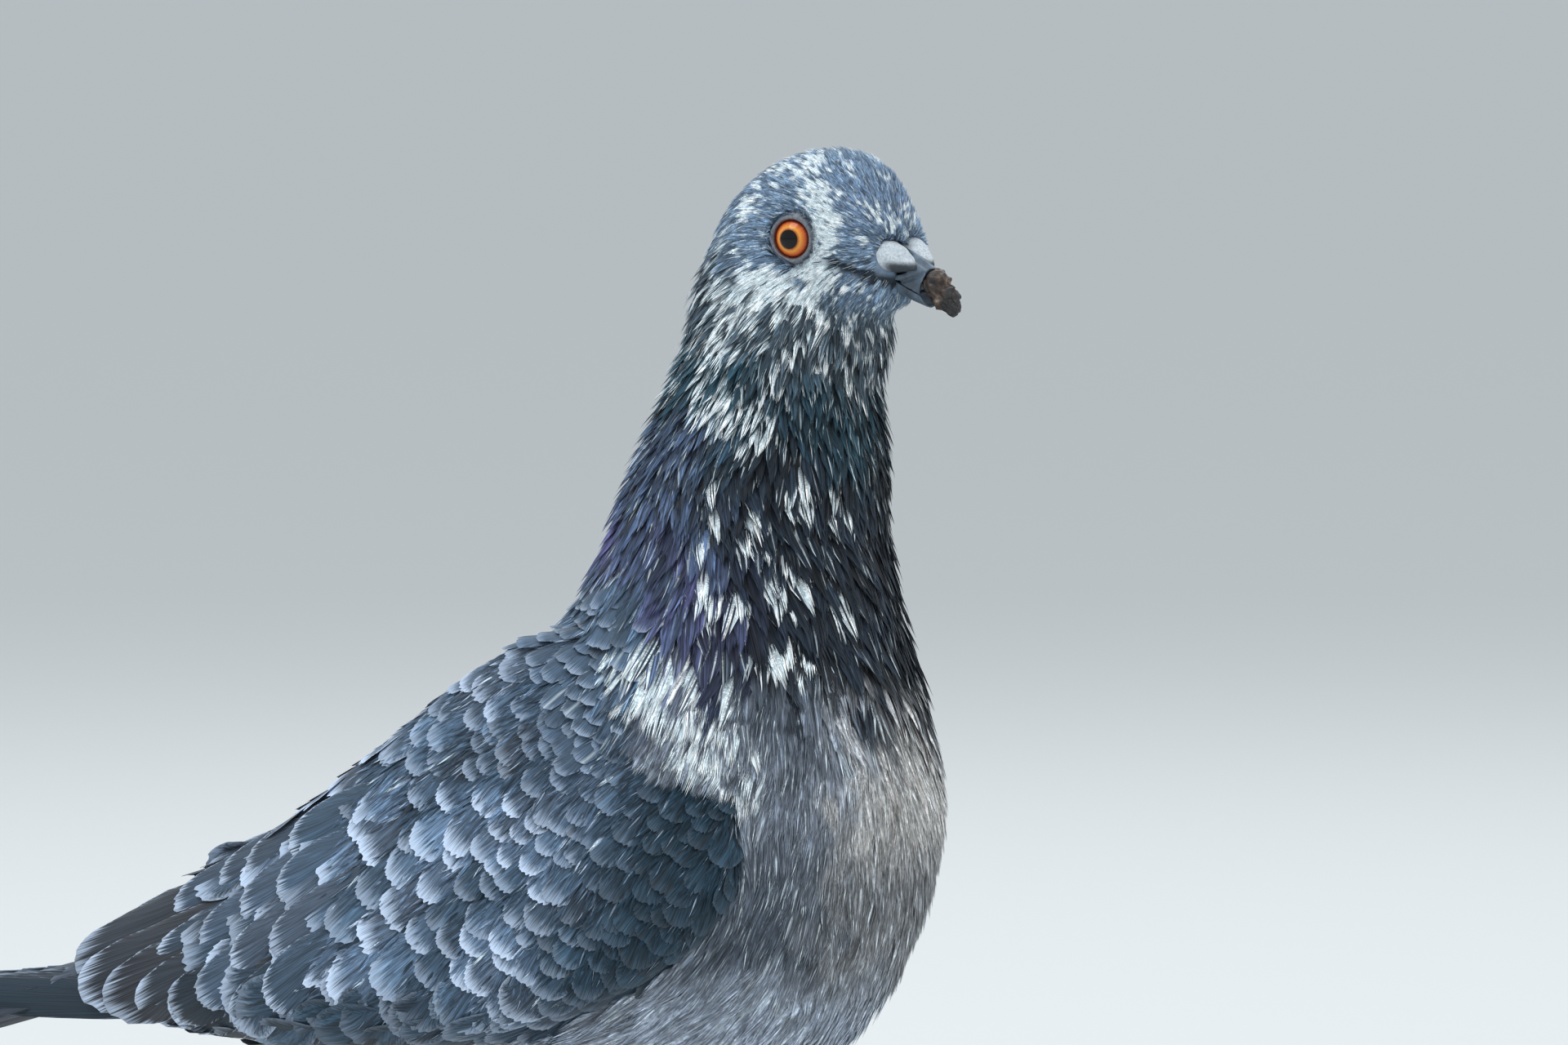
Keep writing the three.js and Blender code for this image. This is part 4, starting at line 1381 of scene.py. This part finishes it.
class PIGEON_OT_wing_coverts(PigeonPiece, bpy.types.Operator):
    """Lays the scalloped coverts of each wing, largest towards its tips, with loose barbs"""

    bl_idname = "pigeon.wing_coverts"
    bl_label = "Wing coverts"

    def make(self, sizes, colours):
        ground = Ground(bpy.data.objects["skin"].data)
        paint = feather_paint("wing_coverts", colours.fringe, 44.0, 0.55, rim=(0.5, 1.02))
        plain = feather_paint("wing_barbs", colours.fringe, 8.0, 0.6)
        for side, sign in SIDES.items():
            rng = np.random.default_rng(80 + sign)
            body = in_body(ground.middles)
            outward = ground.normals[ground.corners].mean(axis=1) * (1, sign, 1)
            outer = outward[:, 1] > np.where(outward[:, 2] < 0, 0.4, -0.35)
            near = Flesh([f"wing_{side}"]).distance(ground.middles) < WING_NEAR
            rear = -66 - 18 * ease(84, 104, body[:, 2])
            zone = near & outer & (body[:, 0] > rear) & (body[:, 1] * sign > 0)
            dense = zone * (1 + ease(-60, 20, body[:, 0]))
            roots, normals = ground.scatter(COVERT_TRIALS, dense, 83 + sign)
            spot = in_body(roots)
            gaps = between(10, 3.9, ease(-84, 26, spot[:, 0]) ** 0.85)
            gaps -= 0.8 * ease(120, 146, spot[:, 2]) * ease(-60, -20, spot[:, 0])
            gaps *= 1 + 0.2 * mottle(roots, 15, 35)
            picked = thinned(roots, gaps)
            roots, normals, gaps = kept(picked, roots, normals, gaps)
            lengths = gaps * rng.uniform(2.1, 2.7, len(gaps))
            paths, facing = ground.follow(roots, normals, lengths, 4, wing_lie, 0.2)
            count = len(roots)
            tints, grey = wing_tones(paths[:, 3], colours, rng, 0.2)
            x, _, z = in_body(paths[:, 3]).T
            smooth_front = ease(-16, 6, x + 0.35 * (z - 120))
            stand = sizes.wing_depth * rng.uniform(0.5, 0.85, count)
            stand = between(stand, 1.5, ease(-70, -100, x))
            spots = 0.5 + (in_body(roots)[:, [0, 2]] - WING_MIDDLE) / WING_SPAN
            planted(
                f"wing_coverts_{side}", paint, "slate_feathers",
                vane(32, 5, (0.35, 0.85, 1, 1, 1), 0.42, 0.03, 5), paths, facing,
                half=gaps * rng.uniform(0.8, 1.02, count), tints=tints,
                fringe=((0.1 + grey) * rng.uniform(0.65, 1.1, count)).clip(0, 1)
                * (1 - 0.65 * smooth_front),
                patches=(spots.clip(0.02, 0.98), gaps / 400), bury=0.5, stand=stand, streak=0.3,
            )
            # Loose barbs over the coverts, thickest at the front and the top.
            dense = zone * (0.45 + ease(-30, 20, body[:, 0]) + ease(118, 140, body[:, 2]))
            roots, normals = ground.scatter(sizes.wing_barbs, dense, 85 + sign)
            count = len(roots)
            lengths = rng.uniform(4.5, 7.5, count)
            paths, facing = ground.follow(roots, normals, lengths, 2, wing_lie, 0.25)
            tints, grey = wing_tones(paths[:, 1], colours, rng, 0.3)
            light = rng.uniform(size=count) < 0.06 * ease(0.1, 0.5, grey)
            planted(
                f"wing_barbs_{side}", plain, "slate_feathers", tuft(5, 2, 7), paths, facing,
                half=lengths * rng.uniform(0.05, 0.1, count), tints=tints * 1.1,
                pale=(light, 0.6, 0.03, colours.fringe), bury=0.1,
                stand=sizes.wing_depth * rng.uniform(0.5, 0.85, count), streak=0.3,
            )


def on_grid(count, columns):
    """Tiles of a baking map, one for each quill."""
    at = np.arange(count)
    tile = 1 / columns
    place = np.stack([(at % columns + 0.5) * tile, (at // columns + 0.5) * tile], axis=1)
    return place, np.full(count, tile * 0.9)


def straight(roots, tips, sag, steps=8):
    """Paths from roots to tips that dip by sag between."""
    share = np.linspace(0, 1, steps + 1)[None, :, None]
    paths = roots[:, None] * (1 - share) + tips[:, None] * share
    paths[:, :, 2] -= (4 * share * (1 - share))[..., 0] * sag
    return paths


OUTSIDE = 150  # how far to the side rays towards a wing start


def laid_on_side(ground, sign, paths):
    """Moves paths sideways onto the outer side of a wing, and gives the way it faces there."""
    facing = np.empty_like(paths)
    for path, normals in zip(paths, facing):
        for step, point in enumerate(path):
            start = Vector((point[0], sign * OUTSIDE, point[2]))
            hit = ground.tree.ray_cast(start, Vector((0, -sign, 0)))
            if hit[0] is None or hit[0].y * sign < 4:
                path[step, 1] = path[step - 1, 1]
                normals[step] = normals[step - 1]
            else:
                path[step, 1] = hit[0].y
                normals[step] = ground.facing(np.array([hit[0]]), np.array([hit[2]]))[0]
    for _ in range(3):
        paths[:, 1:-1, 1] = (paths[:, :-2, 1] + 2 * paths[:, 1:-1, 1] + paths[:, 2:, 1]) / 4
        facing[:, 1:-1] = unit(facing[:, :-2] + 2 * facing[:, 1:-1] + facing[:, 2:])
    return paths, unit(facing + (0, 0.6 * sign, 0))


# The visible tips of a wing's inner quills, lowest first, as x and z of the body.
INNER_TIPS = [
    (-66, 77.5), (-79, 78), (-92, 78.5), (-103, 79), (-112, 80), (-120, 81), (-127, 83), (-130, 88),
]
# The same for the large coverts that close the wing's rear, the rearmost first, each with the
# slope that it runs down at, in degrees.
REAR_TIPS = [
    (-121, 94, 29), (-116, 86, 24), (-109, 101, 30), (-108, 91, 27), (-104, 81, 25),
    (-97, 106, 31), (-97, 96, 31), (-95, 85, 33), (-88, 111, 30), (-87, 101, 33), (-86, 91, 36),
    (-84, 80, 38), (-78, 115, 28), (-77, 106, 32), (-76, 96, 36), (-75, 86, 40),
]


def uphill(tips, degrees, lengths):
    """Where feathers start that run down to their tips at these slopes."""
    slope = np.radians(degrees)
    reach = np.stack([np.cos(slope), 0 * slope, np.sin(slope)], axis=1)
    return tips + reach * lengths[:, None]


class PIGEON_OT_flight_feathers(PigeonPiece, bpy.types.Operator):
    """Lays the long quills of each folded wing: inner ones over it, outer ones beside the tail"""

    bl_idname = "pigeon.flight_feathers"
    bl_label = "Flight feathers"

    def make(self, sizes, colours):
        ground = Ground(bpy.data.objects["skin"].data)
        paint = feather_paint("flight_feathers", colours.fringe, 50.0, 0.45, rim=(0.78, 1.05))
        quill = vane(14, 20, (0.35, 0.7, 0.9, 1, 1, 0.98, 0.9), 0.24, 0.02, 8)
        covert = vane(28, 12, (0.3, 0.75, 1, 1, 0.95), 0.3, 0.02, 4)
        for side, sign in SIDES.items():
            rng = np.random.default_rng(90 + sign)
            count = len(INNER_TIPS)
            order = np.linspace(0, 1, count)
            tips = np.insert(INNER_TIPS, 1, 0, axis=1) + BODY_ZERO
            roots = uphill(tips, between(30, 27, order), between(36, 48, order))
            paths, normals = laid_on_side(ground, sign, straight(roots, tips, 1.5, 12))
            tints = blend(colours.wing_dark, colours.wing_brown, rng.uniform(0.2, 0.8, count))
            inner = planted(
                f"inner_quills_{side}", paint, "flight_feathers", quill, paths, normals,
                half=between(7.2, 8.2, order), tints=tints * 0.9,
                fringe=rng.uniform(0.6, 1.0, count), bury=0.8,
                stand=between(0.2, 1.3, order), streak=0.06, patches=on_grid(count, 3),
            )
            count = len(REAR_TIPS)
            order = np.linspace(0, 1, count)
            tips, slopes = np.array(REAR_TIPS, float)[:, :2], np.array(REAR_TIPS)[:, 2]
            tips = np.insert(tips, 1, 0, axis=1) + BODY_ZERO
            tips[:, [0, 2]] += rng.normal(0, 0.7, (count, 2))
            roots = uphill(tips, slopes, rng.uniform(25, 30, count))
            paths, normals = laid_on_side(ground, sign, straight(roots, tips, 1.2, 10))
            tints = wing_tones(tips, colours, rng, 0.2)[0]
            rear = planted(
                f"rear_coverts_{side}", paint, "slate_feathers", covert, paths, normals,
                half=rng.uniform(5.6, 6.8, count), tints=tints,
                fringe=rng.uniform(0.6, 1.0, count), bury=0.5,
                stand=between(1.2, 2.0, order), streak=0.1, patches=on_grid(count, 4),
            )
            # Outer quills, closed into one blade, the longest outermost and lowest.
            count = 9
            share = np.linspace(0, 1, count)
            first = np.array((-74, 24, 88)) + share[:, None] * np.array((-4, 3, -3))
            ends = np.array((-122, 14.5, 86)) + share[:, None] * np.array((-49, -4.2, -5))
            first, ends = first * (1, sign, 1) + BODY_ZERO, ends * (1, sign, 1) + BODY_ZERO
            paths = straight(first, ends, 1.0)
            normals = np.broadcast_to(unit(np.array((0.0, sign, 0.32))), paths.shape)
            paths += normals * (0.32 * share - 0.9)[:, None, None]
            tints = blend(colours.wing_brown, colours.wing_dark, rng.uniform(0.4, 0.9, count))
            outer = planted(
                f"outer_quills_{side}", paint, "flight_feathers", quill, paths, normals,
                [f"primaries_{side}"], half=np.linspace(5.5, 4.2, count), tints=tints,
                fringe=rng.uniform(0.2, 0.5, count), bury=0.0, stand=0.3, streak=0.06,
                patches=on_grid(count, 3),
            )
            for piece in (inner, rear, outer):
                thicken(piece)


QUILL_WALL = 0.25  # a quill's thickness


def thicken(piece):
    """Gives quills their thickness."""
    wall = piece.modifiers.new("wall", "SOLIDIFY")
    wall.thickness = QUILL_WALL * MM
    wall.offset = -1


COVERT_LENGTH = 30  # of the tail's coverts


def covert_rings(rng):
    """Paths of the tail's coverts and the ways that they face, in rings round its base, the
    rear ones first."""
    paths, facing = [], []
    for ring, reach in enumerate((-165, -156, -148, -140, -132, -125, -118)):
        aside = np.linspace(-1, 1, 7 - ring % 2)
        turns = np.concatenate([np.arccos(aside), -np.arccos(aside[1:-1])])
        if ring < 3:  # the last rings leave the tail's edges free
            turns = turns[np.abs(np.cos(turns)) < (0.5, 0.75, 0.9)[ring]]
        turns = turns + rng.normal(0, 0.05, len(turns))
        ends = reach + rng.uniform(-2.6, 2.6, len(turns))
        for turn, end in zip(turns, ends):
            x = np.linspace(end + COVERT_LENGTH, end, 6)
            half = np.interp(x, (-160, -140, -106), (15.5, 15, 10.5))
            thick = np.interp(x, (-165, -150, -130, -106), (1.3, 2.2, 3.4, 4.6)) + 0.16 * ring
            middle = np.interp(x, (-176, -152, -130, -106), (76, 81.5, 86.5, 92))
            y, z = half * math.cos(turn), thick * math.sin(turn)
            paths.append(np.stack([x, y, middle + z - 0.006 * y * y], axis=1))
            out = np.stack([0 * x, math.cos(turn) / half, math.sin(turn) / thick], axis=1)
            facing.append(unit(unit(out) + (0.1 * math.sin(turn) ** 2, 0, 0)))
    return np.array(paths) + BODY_ZERO, np.array(facing)


class PIGEON_OT_tail(PigeonPiece, bpy.types.Operator):
    """Lays the twelve tail quills and the coverts over and under their roots"""

    bl_idname = "pigeon.tail"
    bl_label = "Tail"

    def make(self, sizes, colours):
        paint = feather_paint("tail_feathers", colours.fringe, 50.0, 0.45, rim=(0.85, 1.2))
        count = 12
        rng = np.random.default_rng(101)
        share = np.linspace(-1, 1, count)
        order = np.argsort(-np.abs(share), kind="stable")
        share = share[order]
        first = np.stack([np.full(count, -108.0), share * 5, np.full(count, 91.5)], axis=1)
        ends = np.stack([-213.5 + 3 * share**2, share * 17.5, 67.3 - 1.9 * share**2], axis=1)
        paths = straight(first + BODY_ZERO, ends + BODY_ZERO, 0.2)
        lean = np.stack([np.full(count, 0.24), 0.22 * share, np.ones(count)], axis=1)
        normals = np.repeat(unit(lean)[:, None], paths.shape[1], axis=1)
        paths += normals * (0.9 * (1 - np.abs(share)) - 0.5)[:, None, None]
        quill = vane(12, 22, (0.3, 0.62, 0.8, 0.92, 1, 1, 0.97), 0.11)
        tints = colours.rump * rng.normal(1, 0.06, (count, 1))
        tail = planted(
            "tail_quills", paint, "flight_feathers", quill, paths, normals, ["tail"], half=9.0,
            tints=tints, fringe=0.15, bury=0.5, stand=0.1, streak=0.06,
            patches=on_grid(count, 4),
        )
        thicken(tail)

        paths, facing = covert_rings(np.random.default_rng(105))
        count = len(paths)
        under = ease(0.35, -0.35, facing[:, 0, 2])
        tints = blend(colours.rump, colours.breast, under)
        tints = tints * rng.normal(1, 0.12, (count, 1))
        planted(
            "tail_coverts", paint, "slate_feathers",
            vane(14, 9, (0.4, 0.85, 1, 0.95, 0.72), 0.5, 0.02, 6), paths, facing,
            half=rng.uniform(4.6, 5.6, count), tints=tints, fringe=rng.uniform(0.05, 0.25, count),
            bury=0.5, stand=rng.uniform(0, 0.25, count), streak=0.1,
            patches=(spread_on_map(paths[:, 0]), COVERT_PATCH),
        )


class PIGEON_OT_eyes(PigeonPiece, bpy.types.Operator):
    """Makes both glossy eyeballs with their orange irises"""

    bl_idname = "pigeon.eyes"
    bl_label = "Eyes"

    def make(self, sizes, colours):
        for side in SIDES:
            mesh = bpy.data.meshes.new(f"eye_{side}")
            with edited(mesh) as bm:
                self.shape(bm, side, sizes.iris_radius)
            paint = self.paint(side, sizes.iris_radius, sizes.pupil_radius, colours.iris)
            add_object(f"eyeball_{side}", mesh, paint.material, [f"eye_{side}"])

    def shape(self, bm, side, iris):
        """A ball with a slight bulge over the iris, and a map of the way round and out."""
        bmesh.ops.create_uvsphere(bm, u_segments=48, v_segments=36, radius=EYE_RADIUS)
        axes = np.array([np.cross(HEAD_UP, SIGHTS[side]), HEAD_UP, SIGHTS[side]])
        layer = bm.loops.layers.uv.new("Iris")
        for face in bm.faces:
            face.smooth = True
            turns = [math.atan2(v.co.y, v.co.x) / (2 * math.pi) % 1 for v in face.verts]
            for loop, turn in zip(face.loops, turns):
                if max(turns) - turn > 0.5:
                    turn += 1
                flat = math.hypot(loop.vert.co.x, loop.vert.co.y)
                far = flat if loop.vert.co.z > 0 else 2 * EYE_RADIUS - flat
                loop[layer].uv = (turn / 1.1, far / (2 * EYE_RADIUS))
        for vert in bm.verts:
            near = ease(iris + 0.3, 0, math.hypot(vert.co.x, vert.co.y)) * (vert.co.z > 0)
            local = np.array(vert.co) * (1, 1, 1 + 0.05 * near)
            vert.co = Vector((EYES[side] + local @ axes) * MM)
        bmesh.ops.recalc_face_normals(bm, faces=bm.faces)

    def paint(self, side, iris, pupil, orange):
        """Orange spokes that darken outwards, round a black pupil, under a clear coat."""
        paint = Paint(f"eye_{side}", Coat_Weight=0.6, Coat_Roughness=0.03, Roughness=0.5)
        paint.shader.inputs["Specular IOR Level"].default_value = 0
        own = paint.node("ShaderNodeUVMap", {"uv_map": "Iris"})
        turn, far = paint.split(own, "X"), paint.split(own, "Y") * (2 * EYE_RADIUS)
        round_and_out = [turn * 70, far * 0.5, 0.0]
        spokes = paint.noise(paint.node("ShaderNodeCombineXYZ", inputs=round_and_out), 1.0, 2.0)
        warm = (far + (spokes - 0.5) * 0.35).eased(pupil, iris + 0.1)
        ring = paint.ramp(warm, [
            (0.0, tuple(orange * (0.6, 0.5, 0.6))),
            (0.14, tuple(orange * (1.15, 1.9, 1.6))),
            (0.45, tuple(orange * (1.1, 1.2, 1))),
            (0.8, tuple(orange * (0.85, 0.6, 0.8))),
            (1.0, (0.12, 0.015, 0.01)),
        ])
        inside = far.eased(pupil - 0.08, pupil + 0.1)
        outside = far.eased(iris - 0.05, iris + 0.25)
        seen = paint.mix(inside, (0.002, 0.002, 0.002), ring)
        paint.feed(Base_Color=paint.mix(outside, seen, (0.02, 0.008, 0.006)))
        return paint


# Spacing of the fine meshes of the horny pieces.
BILL_VOXEL, CERE_VOXEL, CRUST_VOXEL, CLAW_VOXEL = 0.22, 0.2, 0.18, 0.16


def horn_paint(name, tint, grain_size, rough):
    """Dull horn with fine growth lines."""
    paint = Paint(name, Coat_Weight=0.15)
    grain = paint.noise(paint.place(), grain_size, 4.0, 0.6)
    fine = paint.noise(paint.place(), grain_size * 6, 2.0)
    dark = tuple(0.45 * c for c in tint)
    pale = tuple(min(1.7 * c, 1) for c in tint)
    paint.feed(
        Base_Color=paint.mix(grain.eased(0.25, 0.75), dark, pale), Roughness=rough + 0.25 * fine
    )
    paint.bump(fine, 0.3, 0.08)
    return paint.material


class PIGEON_OT_bill(PigeonPiece, bpy.types.Operator):
    """Makes both halves of the bill, the chalky cere and the crust on the tip"""

    bl_idname = "pigeon.bill"
    bl_label = "Bill, cere and crust"

    def make(self, sizes, colours):
        self.halves(horn_paint("bill_horn", colours.horn, 260, 0.35))
        self.cere(colours)
        self.crust()

    def halves(self, horn):
        """Both halves of the horn, with the nostrils' slits, lowered to the mouth's line."""
        upper = remeshed(["bill_upper"], BILL_VOXEL, 4)
        points, normals = places(upper), facings(upper)
        along, aside, up = in_bill(points).T
        # The nostril's slit, under the front of the cere.
        slit = ease(0.6, 0, np.abs(up - (0.53 * along - 4.6))) * ease(7, 8.5, along)
        points -= normals * (0.7 * slit * ease(14, 13, along) * ease(1, 2, np.abs(aside)))[:, None]
        lowered = in_bill(points) - np.outer(GAPE_DROP * ease(3.4, 0, up), (0, 0, 1))
        move_to(upper, from_bill(lowered))
        add_object("bill_horn_upper", upper, horn, ["bill_upper"])
        lower = remeshed(["bill_lower"], BILL_VOXEL, 4)
        move_to(lower, from_bill(in_bill(places(lower)) - (0, 0, GAPE_DROP - 0.1)))
        add_object("bill_horn_lower", lower, horn, ["bill_lower"])

    def cere(self, colours):
        """Two chalky lobes over the bill, each painted dark at its lower front: the real flap over
        the nostril and painted shade on the lobe's underside.
        """
        chalk = Paint("cere_skin", Roughness=0.9)
        grain = chalk.noise(chalk.place(), 2600, 3.0, 0.7)
        broad = chalk.noise(chalk.place(), 420, 2.0)
        pale = chalk.mix(grain.eased(0.3, 0.7), 0.62 * colours.cere, colours.cere)
        tinge = chalk.mix(broad.eased(0.5, 0.75) * 0.5, pale, (0.3, 0.34, 0.4))
        # The lobe's lower front turns dark: the flap over the nostril and painted shade.
        chalk.feed(Base_Color=chalk.mix(chalk.plumage("Alpha"), tinge, 0.3 * colours.horn))
        chalk.bump(grain, 0.8, 0.12)
        for number, side in enumerate(SIDES):
            lobe = remeshed([f"cere_{side}"], CERE_VOXEL, 5)
            points = places(lobe)
            points += facings(lobe) * (0.08 * mottle(points, 1.0, 25 + number) + 0.05)[:, None]
            along, aside, up = in_bill(points).T
            # A teardrop: tall behind, narrow in front, where it hangs low over the nostril.
            fore = (along - 5.6) / 5
            narrow = ease(-0.4, 1, fore)
            inner = np.minimum((np.abs(aside) - 3) / 2.8, 0).clip(-1, 0)
            over = (up - 3.6) / np.sqrt(1 - 0.7 * inner**2)
            tall = between(np.where(over > 0, 1.3, 1.2), 0.6, narrow)
            wide = aside * between(1.24, 0.8, narrow) - np.sign(aside) * 0.4 * inner**2
            shaped = np.stack([5.7 + 6.3 * fore, wide, 1.8 + 1.1 * narrow + over * tall], axis=1)
            low = shaped[:, 2]
            move_to(lobe, from_bill(shaped))
            front = shaped[:, 0] - 5.8
            # Dark at the lobe's lower front: partly the real flap over the nostril, partly painted
            # shade on its underside.
            flap_and_shade = ease(0, 2.4, front) * ease(0.7, -0.7, low - 1.9 - 0.36 * front)
            paint_points(lobe, np.ones((len(low), 3)), flap_and_shade * 0.95)
            smoothed(lobe, 14)
            add_object(f"cere_lobe_{side}", lobe, chalk.material, [f"cere_{side}"])

    def crust(self):
        """The lumpy brown crust on the bill's tip, black at its end."""
        scab = remeshed(["bill_crust"], CRUST_VOXEL, 2)
        points = places(scab)
        lumps = 0.5 * np.abs(mottle(points, 4.6, 27)) + 0.16 * mottle(points, 2.1, 28)
        lumps += 0.06 * mottle(points, 0.9, 29) - 0.25
        lumps -= 0.45 * ease(15, 18, in_bill(points)[:, 0])
        move_to(scab, points + facings(scab) * lumps[:, None])
        along = in_bill(points)[:, 0]
        black = ease(18.2, 20.6, along + 0.7 * mottle(points, 3, 30)) * 0.9
        paint_points(scab, np.ones((len(points), 3)), black)
        paint = Paint("crust", Coat_Weight=0.2)
        broad = paint.noise(paint.place(), 420, 4.0, 0.65)
        fine = paint.noise(paint.place(), 1500, 4.0, 0.7)
        brown = paint.ramp(broad * 0.7 + fine * 0.3, [
            (0.36, (0.006, 0.005, 0.005)),
            (0.47, (0.035, 0.02, 0.014)),
            (0.58, (0.12, 0.075, 0.05)),
            (0.7, (0.3, 0.25, 0.2)),
        ])
        tint = paint.mix(paint.plumage("Alpha"), brown, (0.012, 0.012, 0.014))
        paint.feed(Base_Color=tint, Roughness=0.35 + fine * 0.5)
        paint.bump(fine, 0.9, 0.2)
        add_object("crust", scab, paint.material, ["bill_crust"])


class PIGEON_OT_claws(PigeonPiece, bpy.types.Operator):
    """Makes the eight dark claws"""

    bl_idname = "pigeon.claws"
    bl_label = "Claws"

    def make(self, sizes, colours):
        horn = horn_paint("claw_horn", (0.035, 0.03, 0.028), 500, 0.3)
        for side in SIDES:
            for toe in TOES:
                node = f"claw_{toe}_{side}"
                claw = remeshed([node], CLAW_VOXEL, 3, swell=0.05)
                add_object(f"horn_{toe}_{side}", claw, horn, [node])


FLOOR_HALF = 90  # metres, so that its edge is never seen
VIEW = (27, 3)  # where the camera stands round the bird, and how high, in degrees
VIEW_FAR, LAMP_FAR = 2.15, 1.9
TARGET = Vector((0.0961, 0.0, 0.181))  # what the camera and the lamps look at
# Each lamp: its place as for the camera, its size, its power and its colour.
LAMPS = {
    "key": (-25, 62, 1.2, 17, (0.9, 0.96, 1.0)),
    "fill": (85, 20, 1.4, 9, (1.0, 0.95, 0.88)),
    "rim": (205, 45, 1.4, 10, (0.9, 0.96, 1.0)),
}


def stand_off(name, data, azimuth, elevation, far):
    """Puts a camera or a lamp round the bird, turned to the target."""
    a, e = math.radians(azimuth), math.radians(elevation)
    back = Vector((math.sin(a) * math.cos(e), -math.cos(a) * math.cos(e), math.sin(e)))
    made = bpy.data.objects.new(name, data)
    made.location = TARGET + back * far
    made.rotation_euler = back.to_track_quat("Z", "Y").to_euler()
    bpy.context.scene.collection.objects.link(made)
    return made


class PIGEON_OT_stage(PigeonPiece, bpy.types.Operator):
    """Sets the pale floor, the soft lights and the camera"""

    bl_idname = "pigeon.stage"
    bl_label = "Stage"

    def make(self, sizes, colours):
        scene = bpy.context.scene
        mesh = bpy.data.meshes.new("floor")
        with edited(mesh) as bm:
            bmesh.ops.create_grid(bm, x_segments=2, y_segments=2, size=FLOOR_HALF)
        floor = bpy.data.objects.new("floor", mesh)
        scene.collection.objects.link(floor)
        paint = Paint("floor", Base_Color=(0.72, 0.72, 0.71, 1), Roughness=0.8)
        mesh.materials.append(paint.material)

        lens = bpy.data.cameras.new("camera")
        lens.sensor_width = 36
        lens.lens = 250
        lens.clip_end = 300
        scene.camera = stand_off("camera", lens, *VIEW, VIEW_FAR)

        world = bpy.data.worlds.new("studio")
        world.use_nodes = True
        sky = world.node_tree.nodes["Background"]
        sky.inputs["Color"].default_value = (0.86, 0.94, 1.0, 1)
        sky.inputs["Strength"].default_value = 0.72
        scene.world = world
        scene.view_settings.view_transform = "Standard"
        for name, (azimuth, elevation, size, power, tint) in LAMPS.items():
            light = bpy.data.lights.new(name, "AREA")
            light.shape = "DISK"
            light.size = size
            light.energy = power
            light.color = tint
            stand_off(name, light, azimuth, elevation, LAMP_FAR)


PIECES = (
    PIGEON_OT_stage,
    PIGEON_OT_skin,
    PIGEON_OT_head_feathers,
    PIGEON_OT_neck_feathers,
    PIGEON_OT_breast_feathers,
    PIGEON_OT_back_feathers,
    PIGEON_OT_wing_coverts,
    PIGEON_OT_flight_feathers,
    PIGEON_OT_tail,
    PIGEON_OT_eyes,
    PIGEON_OT_bill,
    PIGEON_OT_claws,
)


class PIGEON_PT_panel(bpy.types.Panel):
    """Lists the pigeon's pieces"""

    bl_idname = "PIGEON_PT_panel"
    bl_label = "Pigeon"
    bl_space_type = "VIEW_3D"
    bl_region_type = "UI"
    bl_category = "Pigeon"

    def draw(self, context):
        for group in (context.scene.pigeon_sizes, context.scene.pigeon_colours):
            for name in group.__annotations__:
                self.layout.prop(group, name)
        for piece in PIECES:
            self.layout.operator(piece.bl_idname)


CLASSES = (PigeonSizes, PigeonColours, *PIECES, PIGEON_PT_panel)


def register():
    for cls in CLASSES:
        bpy.utils.register_class(cls)
    bpy.types.Scene.pigeon_sizes = PointerProperty(type=PigeonSizes)
    bpy.types.Scene.pigeon_colours = PointerProperty(type=PigeonColours)


def unregister():
    del bpy.types.Scene.pigeon_colours
    del bpy.types.Scene.pigeon_sizes
    for cls in reversed(CLASSES):
        bpy.utils.unregister_class(cls)


def main():
    register()
    for piece in PIECES:
        group, name = piece.bl_idname.split(".")
        getattr(getattr(bpy.ops, group), name)()


if __name__ == "__main__":
    main()
